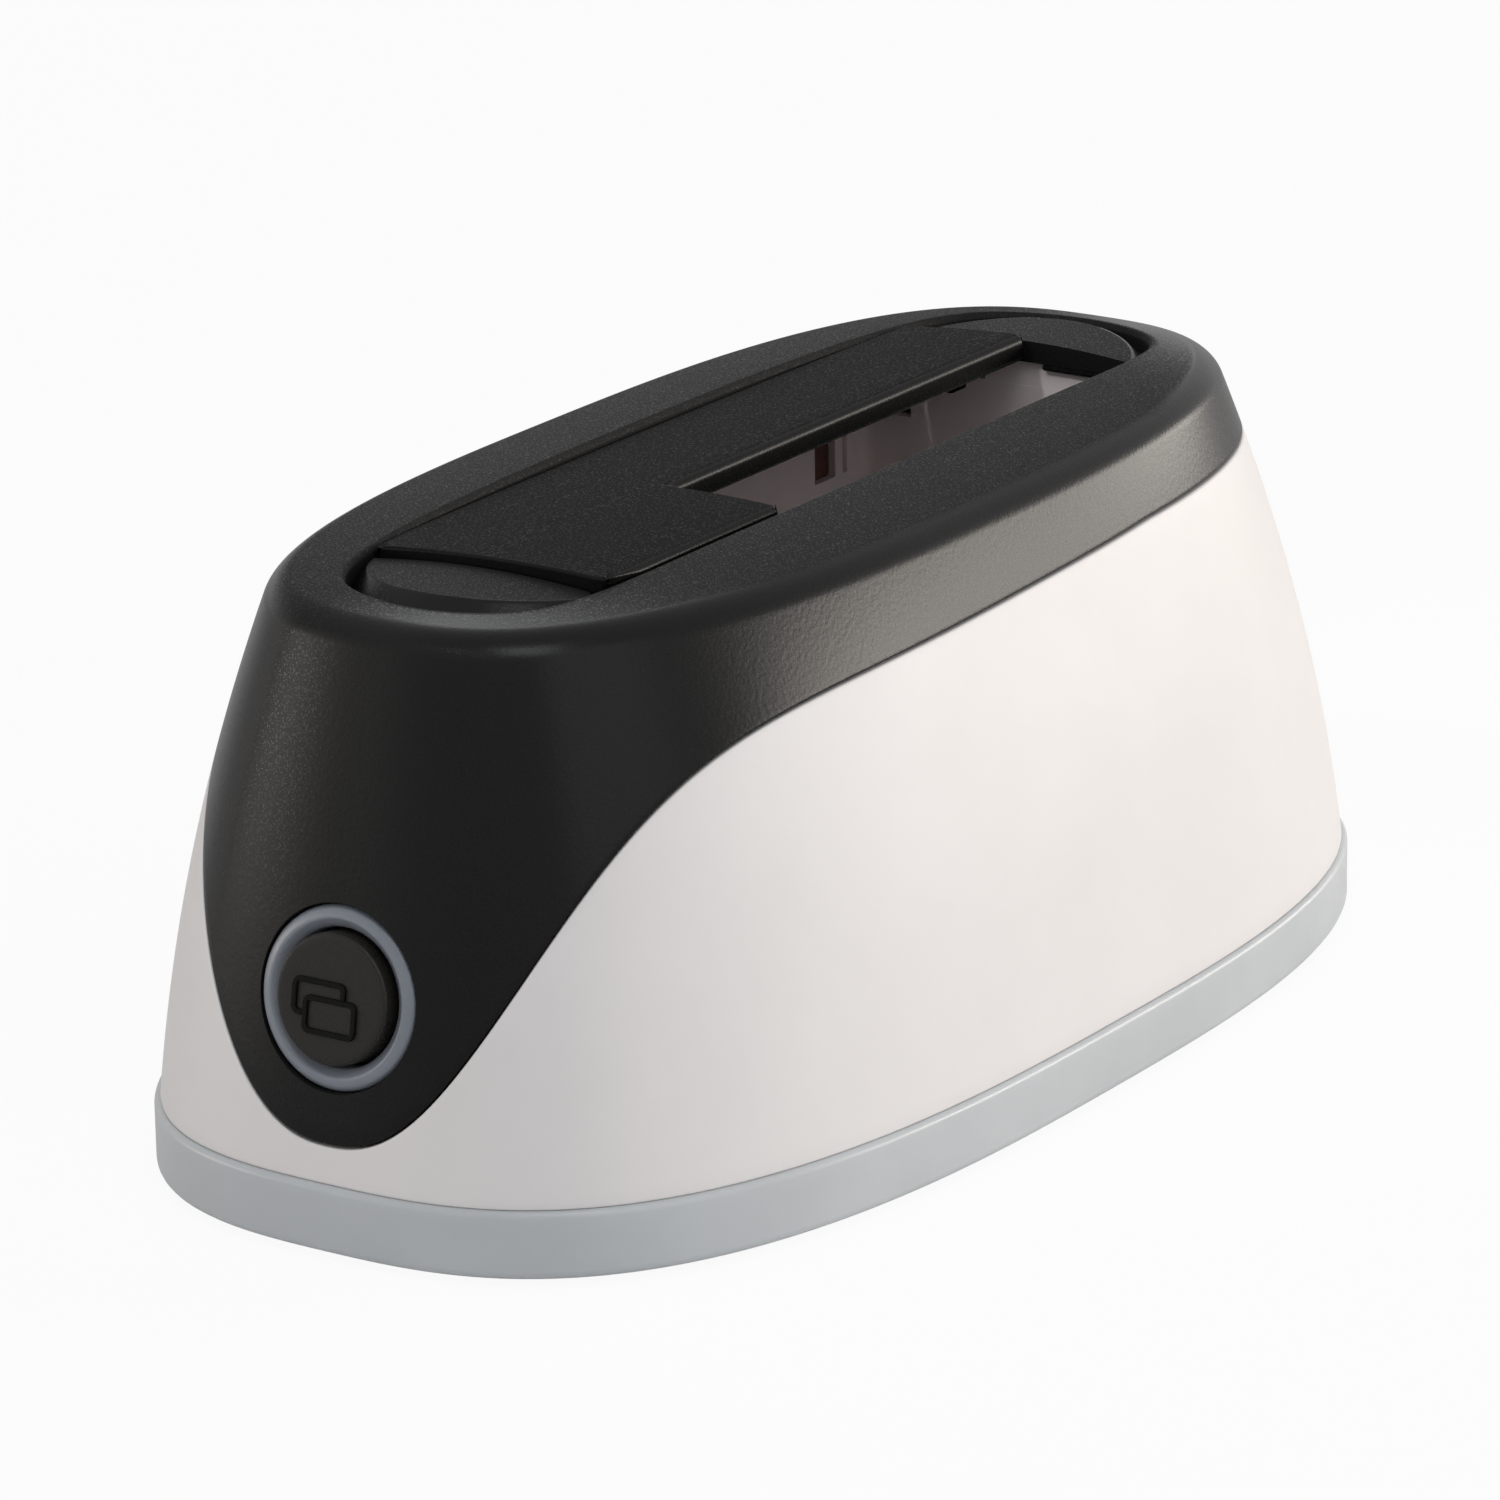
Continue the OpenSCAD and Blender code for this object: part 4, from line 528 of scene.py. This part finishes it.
for p, r, hole, top in ([((c[0], c[1]), 3.4, 0.0, 10.35) for c in corners] + [(p, 3.8, 0.0, POST_TOP) for p in posts]
                        + [(p, 3.0, 1.0, 13.0) for p in bays] + [(p, 2.6, 0.9, 8.8) for p in holds]):
    shape = [(r + 0.3, floor_z - 0.5), (r + 0.3, floor_z), (r, floor_z + 0.5), (r, top - 0.2), (r - 0.2, top)]
    if hole:
        shape += [(hole, top), (hole, top - 4)]
    ribs.lathe(shape, Matrix.Translation((*p, 0)), 64, ring=False)
cut(base, ribs.make("ribs"), "UNION")
cut(base, wells.make("wells"))
dress(base, "grey_plastic", "housing", "grey_plastic", "base_tray")

# Flap: crowned, tilted L, with a rounded right edge, hinge arms and hooks
flap_z = BODY_H - FLAP_LOW
crown_r = FLAP_W ** 2 / (8 * FLAP_CROWN)
# As in the photo, the flap is crowned less and tilted more than its solid
bulge, more_tilt = 0.62, 1.0
bulge_r = FLAP_W ** 2 / (8 * bulge)
tilt, slope = math.radians(FLAP_TILT + more_tilt), math.radians(FLAP_TILT)
hinge_x, hinge_z = -18.95, UNDER_Z - 2.2


def flap_point(s, h, y):
    """Point at s across the flap, h above its left edge's level, and y along the slot."""
    a, b = s * math.cos(tilt) - h * math.sin(tilt), s * math.sin(tilt) + h * math.cos(tilt)
    return a - FLAP_W / 2, y, flap_z + b


def crown(s):
    return bulge - bulge_r + math.sqrt(bulge_r ** 2 - (s - FLAP_W / 2) ** 2)


near = FLAP_W - FLAP_EDGE
middle = NOTCH_X + FLAP_W / 2
notch_r = 1.1
across = [(s, crown(s)) for s in np.linspace(0, middle - notch_r, 20)]
across += [(s, crown(s)) for s in [middle - notch_r * (1 - math.sin(t)) for t in np.radians(rows(0, 90, 8))]]
half = len(across) - 1
across += [(s, crown(s)) for s in rows(middle, near, 16)]
across += [(near + FLAP_EDGE * math.sin(t), crown(near) * (1 - t / (math.pi / 2)) - FLAP_EDGE * (1 - math.cos(t)))
           for t in np.radians(rows(0, 90, 8))]
ys = [FLAP_FRONT] + list(np.linspace(FLAP_FRONT + 1.3, NOTCH_Y, 40))
split = len(ys) - 1
ys += rows(NOTCH_Y, FLAP_REAR, 80)
line = np.stack(rim(-RIM_GAP, np.radians(np.linspace(180.2, 359.8, 2000))), -1)
line = line[np.argsort(line[:, 1])]
flap = Build()
index, points, faces = {}, [], []
for j, y in enumerate(ys):
    left = float(np.interp(y, line[:, 1], line[:, 0]))
    for i, (s, h) in enumerate(across):
        if j > split and i > half:
            continue
        if i == 0:
            s = left + FLAP_W / 2
            h = crown(s)
        if j > split and s > middle - notch_r:
            h -= notch_r - math.sqrt(max(0.0, notch_r ** 2 - (s - middle + notch_r) ** 2))
        past = min(1.0, max(0.0, s - near + 0.5)) if j == 0 else 0.0
        for k, hh in enumerate((h, -FLAP_T)):
            p = flap_point(s, hh, y + 1 - math.sqrt(1 - past * past))
            if i > half:
                p = (min(p[0], -left), p[1], p[2])
            index[i, j, k] = len(points)
            points.append(p)
cells = {(i, j) for i in range(len(across) - 1) for j in range(len(ys) - 1) if not (i >= half and j >= split)}
for i, j in cells:
    corner = [(i, j), (i + 1, j), (i + 1, j + 1), (i, j + 1)]
    faces.append(tuple(index[a, b, 0] for a, b in corner))
    faces.append(tuple(index[a, b, 1] for a, b in reversed(corner)))
    for step, a, b in (((0, -1), 0, 1), ((1, 0), 1, 2), ((0, 1), 2, 3), ((-1, 0), 3, 0)):
        if (i + step[0], j + step[1]) not in cells:
            (c, d), (e, f) = corner[a], corner[b]
            faces.append((index[c, d, 1], index[e, f, 1], index[e, f, 0], index[c, d, 0]))
flap.add(points, faces)
flap = flap.make("flap_skin", 50)
bevel(flap, 0.3, 3, 50).use_clamp_overlap = False
dress(flap, "black_plastic", "flap", "black_plastic", "flap")
arms = Build()
ALONG = Matrix(((1, 0, 0, 0), (0, 0, -1, 0), (0, 1, 0, 0), (0, 0, 0, 1)))
knuckle, arm_half = 1.8, 4.5
arm_left, arm_right, arm_z = -FLAP_W / 2 + 0.05, -FLAP_W / 2 + 3, flap_z - FLAP_T / 2
shape = (arc((hinge_x, hinge_z), knuckle, 90, 270, 20)
         + [(arm_right, hinge_z), (arm_right, arm_z), (arm_left, arm_z), (arm_left, hinge_z + knuckle)])
for y in (-35.8, 35.2):
    arms.prism(shape, -y - arm_half, -y + arm_half, ALONG)
for left, right, side, end, catch in ((5.425, 10.425, -1, FLAP_FRONT, 0.95), (-9.875, -7.5, 1, FLAP_REAR, 1.65)):
    bottom, hook_t = hinge_z - 1.75, 1.4
    lo, hi = sorted((end, end - side * hook_t))
    arms.box((left, lo, bottom), (right, hi, arm_z))
    lo, hi = sorted((end + side * catch, end - side * 1.0))
    arms.box((left, lo, bottom), (right, hi, bottom + hook_t))
arms = arms.make("flap_arms")
bevel(arms, 0.15, 2, 40)
dress(arms, "black_plastic", "flap", "black_plastic", "flap")

# Inner frame: flange, hinge lugs, drive guides and post tops
FRAME_Z = UNDER_Z - 2.2
SLOT_LEFT, SLOT_RIGHT, SLOT_FRONT, SLOT_REAR = -21.25, 15.75, -51.8, 51.2
# Room for the rear wall of the bay, through the plate and into the underside of the rear crescent
ROOM_LEFT, ROOM_RIGHT, ROOM_REAR, ROOM_TOP = -5.5, 15.4, 53.8, 62.6
GUIDE_REAR, FLANGE_GAP = 51.95, 0.5
plate = Build()
side, end = FLANGE_SIDE - FLANGE_GAP, FLANGE_END - FLANGE_GAP
x, y = four_arc(RIM_W / 2 + side, RIM_L / 2 + end, RIM_END_R + side)
plate.loft([loop(x, y, np.full(COLS, z)) for z in (FRAME_Z, UNDER_Z - 0.01)], ends=(True, True))
plate = plate.make("frame_plate")
for low, high in (((-SLOT_RIGHT, SLOT_FRONT), (SLOT_RIGHT, SLOT_REAR)), ((SLOT_LEFT, -43.3), (0, 42.7))):
    hole = Build()
    hole.box((*low, FRAME_Z - 1), (*high, UNDER_Z + 1))
    cut(plate, hole.make("hole"))
hole = Build()
for x in (-17.9, 17.9):
    for y in (-55.8, 55.2):
        hole.lathe([(0.95, FRAME_Z - 1), (0.95, UNDER_Z + 1)], Matrix.Translation((x, y, 0)), 32, ring=False)
hole.prism([(14.5, -53.5), (16.2, -51.8), (14.5, -50.1), (12.8, -51.8)], FRAME_Z - 1, UNDER_Z + 1)
hole.box((ROOM_LEFT, SLOT_REAR - 1, FRAME_Z - 1), (ROOM_RIGHT, ROOM_REAR, UNDER_Z + 1))
cut(plate, hole.make("hole"))
bevel(plate, 0.2, 2, 40)
lugs = Build()
shape = ([(-24.35, hinge_z - 2.1)] + arc((hinge_x, hinge_z), 2.1, -90, 90, 20)
         + [(hinge_x, UNDER_Z - 0.02), (-24.35, UNDER_Z - 0.02)])
for y in (-45.8, -0.3, 45.2):
    lugs.prism(shape, -y - 2.5, -y + 2.5, ALONG)
lugs = lugs.make("frame_lugs")
hole = Build()
hole.prism(arc((hinge_x, hinge_z), 1.05, 0, 345, 23), -70, 70, ALONG)
cut(lugs, hole.make("hole"))
bevel(lugs, 0.15, 2, 40)
guides = Build()
guides.box((SLOT_RIGHT, SLOT_FRONT, FRAME_Z - 0.4), (17.35, GUIDE_REAR, UNDER_Z - 0.02))
guides.box((2.7, SLOT_REAR, 61.85), (SLOT_RIGHT, GUIDE_REAR, ROOM_TOP - 0.02))
guides = guides.make("frame_guides")
bevel(guides, 0.25, 3, 40)
legs, bore_top = Build(), 46.64
for p in posts:
    legs.lathe([(1.35, bore_top), (1.35, POST_TOP + 0.2), (1.55, POST_TOP), (2.3, POST_TOP), (2.5, POST_TOP + 0.2),
                (2.5, FRAME_Z + 0.1), (0.001, FRAME_Z + 0.1), (0.001, bore_top)], Matrix.Translation((*p, 0)), 48)
legs = legs.make("frame_legs")


def crescent(name, side):
    """Crowned end panel in the rim: a straight edge at the slot and a long slope down to the rim."""
    mid, top_r, run, edge = 46.6, 15.0, 2.4, SLOT_L / 2
    wide, sink, hub = 14.5, 1.15, 56.0
    start = math.asin((edge - mid) / top_r)
    end = math.asin((edge + 1 - mid) / top_r) if side < 0 else start
    turn = np.linspace(math.pi + start, 2 * math.pi - end, 120)
    outline = [(top_r * math.cos(t), -mid + top_r * math.sin(t), math.cos(t), math.sin(t)) for t in turn]
    chord = 14.18 - (1.4 if side < 0 else 0.0)
    outline += [(x, -edge, 0.0, 0.0) for x in np.linspace(chord, -14.1, 40)]
    px, py, nx, ny = np.array(outline).T

    def at(out, drop, scale=1.0):
        x, y = np.clip(px + nx * out, -wide, wide) * scale, -hub + (py + ny * out + hub) * scale
        s = x + FLAP_W / 2
        z = flap_z - sink + s * math.sin(slope) + FLAP_CROWN - crown_r + np.sqrt(crown_r ** 2 - (s - FLAP_W / 2) ** 2)
        return x, y, z - drop

    stack = [at(run, run + 0.7)[:2] + (np.full(len(px), UNDER_Z - 0.5),)]
    stack += [at(run * f, run * f) for f in (1.0, 0.66, 0.33, 0.12, 0.05)] + [at(-0.05, 0.0), at(-0.3, 0.0)]
    stack += [at(-0.3, 0.0, k) for k in (0.9, 0.75, 0.55, 0.35, 0.15)]
    loops = [np.stack([x, SLOT_Y - side * y, z], -1) for x, y, z in stack]
    b = Build()
    b.loft([q if side < 0 else q[::-1] for q in loops], ends=(True, True))
    return b.make(name, 35)


for obj in (plate, lugs, guides, legs):
    dress(obj, "black_plastic", "housing", "black_plastic", "slot_bezel")
rear = crescent("crescent_rear", 1)
hole = Build()
hole.box((ROOM_LEFT, SLOT_REAR - 1, FRAME_Z), (ROOM_RIGHT, ROOM_REAR, ROOM_TOP))
cut(rear, hole.make("hole"), sharp=35)
for obj in (crescent("crescent_front", -1), rear):
    dress(obj, "cover_plastic", "housing", "black_plastic", "slot_bezel")

# Drive bay: rounded corners, a rear wall up to the frame, a recess with a dark reddish plate in it as painted shade,
# and a groove
BAY_LEFT, BAY_RIGHT, BAY_FRONT, BAY_REAR, BAY_LOW, BAY_FLOOR = -21.45, 15.95, -52.6, 52.0, 13.0, 15.2
bay_top = hinge_z - 6.1


def bay_loop(grow, r, z):
    x, y = np.array(rounded(BAY_RIGHT - BAY_LEFT + 2 * grow, BAY_REAR - BAY_FRONT + 2 * grow, r, 8)).T
    return loop(x + (BAY_LEFT + BAY_RIGHT) / 2, y + (BAY_FRONT + BAY_REAR) / 2, z)


bay = Build()
bay.loft([bay_loop(g, r, z) for g, r, z in (
    (1.8, 1.2, BAY_LOW), (1.8, 1.2, bay_top - 0.3), (1.5, 0.9, bay_top), (0.3, 1.7, bay_top), (0, 1.4, bay_top - 0.3),
    (0, 1.4, BAY_FLOOR + 0.8), (-0.1, 1.3, BAY_FLOOR + 0.4), (-0.4, 1.0, BAY_FLOOR + 0.1), (-0.8, 0.6, BAY_FLOOR))],
    ends=(True, True))
bay = bay.make("bay_skin")
for mid_x, mid_z, w, h, back_y, gap in ((0, 56.3, 30.4, 6.6, 53.6, 0.02), (4.9, 57.65, 20.4, 9.7, 53.5, 0.05)):
    wall = Build()
    wall.prism([(x + mid_x, z + mid_z) for x, z in rounded(w, h, 0.8)], -back_y, -BAY_REAR - gap, BACK)
    cut(bay, wall.make("wall"), "UNION")
hole = Build()
hole.box((5.7, -15.3, BAY_LOW - 1), (14.3, 31.3, BAY_FLOOR + 1))
hole.box((BAY_LEFT - 1.2, 41.6, 47.44), (BAY_LEFT + 1, 45.8, 53.04))
hole.box((BAY_LEFT - 0.7, 47.3, 47.44), (BAY_LEFT + 1, 48.2, 53.04))
for p in bays:
    hole.lathe([(1.05, BAY_LOW - 1), (1.05, BAY_FLOOR - 1.3), (2.2, BAY_FLOOR - 1.3), (2.2, BAY_FLOOR + 1)],
               Matrix.Translation((*p, 0)), 48, ring=False)
cut(bay, hole.make("hole"))
bevel(bay, 0.2, 2, 50)
dress(bay, "bay_plastic", "housing", "bay_plastic", "drive_bay")
# Dark reddish plate at the back of the recess in the left wall: painted shade that darkens the recess
lens = Build()
SIDEWAYS = Matrix(((0, 0, 1, 0), (1, 0, 0, 0), (0, 1, 0, 0), (0, 0, 0, 1)))
lens.prism([(y + 43.7, z + 50.24) for y, z in rounded(4.1, 5.5, 0.5)], BAY_LEFT - 1.19, BAY_LEFT - 0.8, SIDEWAYS)
lens = lens.make("bay_recess_shade")
bevel(lens, 0.12, 2, 40)
dress(lens, "recess_shade_plastic", "housing", "dark_plastic")

# Light ring: frosted dome with a smooth inner bevel
ring = Build()
profile = [(-1.3, -5.2), (-1.3, -4.0), (0, -4.0), (0, -0.95), (0.06, -0.78), (0.2, -0.6), (0.4, -0.42), (0.7, -0.26),
           (1.0, -0.16), (1.22, -0.12), (1.36, -0.15), (1.5, -0.26), (2.0, -0.7), (2.2, -0.88),
           (RING_W, -1.05), (RING_W, -5.2)]
ring.lathe([(RING_R - inset, h) for inset, h in profile], AT_BUTTON, 160)
ring = ring.make("ring_skin", 35)
dress(ring, "light_ring", "housing", "light_ring", "button_ring")

# Button cap, a little proud, with two raised frames for its pictogram, coloured darker than the cap as painted shade
# for their dark outlines
cap = Build()
cap_r, proud, fillet = 6.8, 0.7, 0.4
cap.lathe([(0.001, -6.9), (1.5, -6.9), (1.5, -6.5), (8.2, -6.5), (8.2, -5.5), (cap_r, -5.5), (cap_r, proud - fillet)]
          + [(cap_r - fillet * (1 - math.cos(t)), proud - fillet * (1 - math.sin(t)))
             for t in np.radians(rows(0, 90, 6))]
          + [(cap_r * f, proud + 0.02 * (1 - f)) for f in (0.85, 0.6, 0.3)] + [(0.001, proud + 0.02)],
          AT_BUTTON, 160, ring=False)
cap = cap.make("cap_skin", 40)
dress(cap, "cap_plastic", "button", "black_plastic", "backup_button")
ICON, HOLLOW = rounded(6.6, 4.0, 0.9), rounded(5.4, 2.8, 0.3)
icon_x, icon_y, icon_dx, icon_dy = -0.7, -1.0, 0.725, 0.85
icon_low, icon_high = proud - 0.1, proud + 0.3
frames = []
for at in (-1, 1):
    dx, dy = at * icon_dx + icon_x, icon_y - at * icon_dy
    outer, hollow = [[(x + dx, y + dy) for x, y in shape] for shape in (ICON, HOLLOW)]
    f = Build()
    f.loft([np.array([AT_BUTTON @ Vector((*p, h)) for p in shape]) for shape, h in (
        (outer, icon_low), (outer, icon_high), (hollow, icon_high), (hollow, icon_low))], ring=True)
    frames.append(f.make("icon_back" if at < 0 else "icon_front"))
hide = Build()
hide.prism([(x + icon_dx + icon_x, y - icon_dy + icon_y) for x, y in ICON], 0, 3, AT_BUTTON)
cut(frames[0], hide.make("hide"))
for f in frames:
    bevel(f, 0.1, 2, 40)
    dress(f, "icon_plastic", "button", "black_plastic", "backup_button")

# Soft edges on the CAD nodes that stay in view
for name, width in (("sata_connector", 0.15), ("power_switch", 0.2),
                    ("power_rocker", 0.25), ("dc_jack", 0.15), ("usb_shell", 0.08), ("usb_tongue", 0.1)):
    obj = frame["nodes"][name]
    weld = obj.modifiers.new("weld", "WELD")
    weld.merge_threshold = 1e-6
    bevel(obj, width, 2, 40)

# Floor and light
floor = Build()
floor_r, n = 3000, 64
floor.add([(floor_r * math.cos(2 * math.pi * i / n), floor_r * math.sin(2 * math.pi * i / n), 0) for i in range(n)],
          [tuple(range(n))])
floor = floor.make("floor")
mat = bpy.data.materials.new("floor_paper")
mat.use_nodes = True
nodes, links = mat.node_tree.nodes, mat.node_tree.links
paper = nodes["Principled BSDF"]
paper.inputs["Base Color"].default_value = (0.92, 0.92, 0.92, 1)
paper.inputs["Roughness"].default_value = 0.9
paper.inputs["Specular IOR Level"].default_value = 0.1
glow = nodes.new("ShaderNodeEmission")
path = nodes.new("ShaderNodeLightPath")
mix = nodes.new("ShaderNodeMixShader")
part = nodes.new("ShaderNodeMath")
part.operation = "MULTIPLY"
part.inputs[1].default_value = 0.93
links.new(path.outputs["Is Camera Ray"], part.inputs[0])
links.new(part.outputs[0], mix.inputs["Fac"])
links.new(paper.outputs[0], mix.inputs[1])
links.new(glow.outputs[0], mix.inputs[2])
links.new(mix.outputs[0], nodes["Material Output"].inputs["Surface"])
floor.data.materials.append(mat)

world = bpy.data.worlds.new("studio")
bpy.context.scene.world = world
world.use_nodes = True
nodes, links = world.node_tree.nodes, world.node_tree.links
soft = nodes["Background"]
soft.inputs["Color"].default_value = (0.96, 0.97, 1.0, 1)
soft.inputs["Strength"].default_value = 0.37
white = nodes.new("ShaderNodeBackground")
white.inputs["Strength"].default_value = 1.0
path = nodes.new("ShaderNodeLightPath")
seen = nodes.new("ShaderNodeMath")
seen.operation = "MAXIMUM"
links.new(path.outputs["Is Camera Ray"], seen.inputs[0])
links.new(path.outputs["Is Glossy Ray"], seen.inputs[1])
also = nodes.new("ShaderNodeMath")
also.operation = "MAXIMUM"
links.new(seen.outputs[0], also.inputs[0])
links.new(path.outputs["Is Transmission Ray"], also.inputs[1])
mix = nodes.new("ShaderNodeMixShader")
links.new(also.outputs[0], mix.inputs["Fac"])
links.new(soft.outputs[0], mix.inputs[1])
links.new(white.outputs[0], mix.inputs[2])
links.new(mix.outputs[0], nodes["World Output"].inputs["Surface"])


def hang(name, lamp, place, aim):
    obj = bpy.data.objects.new(name, lamp)
    obj.location = place
    obj.rotation_euler = (Vector(aim) - Vector(place)).to_track_quat("-Z", "Y").to_euler()
    bpy.context.scene.collection.objects.link(obj)


def area(name, place, aim, size, power, colour):
    lamp = bpy.data.lights.new(name, "AREA")
    lamp.shape, lamp.size, lamp.size_y = "RECTANGLE", size[0], size[1]
    lamp.energy, lamp.color = power, colour
    hang(name, lamp, place, aim)


area("key", (1.05, -0.35, 0.6), (0, 0, 0.03), (0.9, 0.9), 1.7, (1.0, 0.985, 0.98))
area("strip", (1.06, 1.39, 0.26), (0, 0, 0.05), (1.75, 0.3), 14.5, (1.0, 0.93, 0.85))
area("fill", (1.36, 1.13, 0.28), (0, 0, 0.05), (0.6, 0.28), 3.4, (1.0, 0.93, 0.85))
area("left", (-0.86, -0.53, 0.12), (0, 0, 0.04), (0.6, 0.22), 1.8, (1.0, 0.92, 0.83))
area("back", (-0.65, 0.95, 0.55), (0, 0, 0.06), (0.5, 0.4), 0.6, (0.95, 0.97, 1.0))
area("top", (0.45, -0.5, 1.05), (0, 0, 0.05), (0.5, 0.5), 2.7, (0.96, 0.98, 1.0))

# Narrow lamp through the notch onto the rear wall of the bay
snoot = bpy.data.lights.new("snoot", "SPOT")
snoot.energy, snoot.color, snoot.shadow_soft_size = 34.0, (0.97, 0.98, 1.0), 0.06
snoot.spot_size, snoot.spot_blend = math.radians(4.6), 1.0
hang("snoot", snoot, (-0.18, -0.85, 0.95), (0.008, 0.036, 0.06))

# Camera, as fitted to the photo
az, el, roll = math.radians(33.93), math.radians(17.90), math.radians(-1.01)
back = Vector((math.sin(az) * math.cos(el), -math.cos(az) * math.cos(el), math.sin(el)))
right = Vector((math.cos(az), math.sin(az), 0))
up = back.cross(right)
across_v = math.cos(roll) * right + math.sin(roll) * up
up_v = -math.sin(roll) * right + math.cos(roll) * up
camera = bpy.data.cameras.new("camera")
camera.lens, camera.sensor_width, camera.sensor_fit = 193.55, 36.0, "HORIZONTAL"
camera.clip_start, camera.clip_end = 0.01, 50
eye = bpy.data.objects.new("camera", camera)
turn = Matrix((across_v, up_v, back)).transposed().to_4x4()
eye.matrix_world = Matrix.Translation((0.45979, -0.68784, 0.29850)) @ turn
bpy.context.scene.collection.objects.link(eye)
bpy.context.scene.camera = eye
bpy.context.scene.view_settings.view_transform = "Standard"
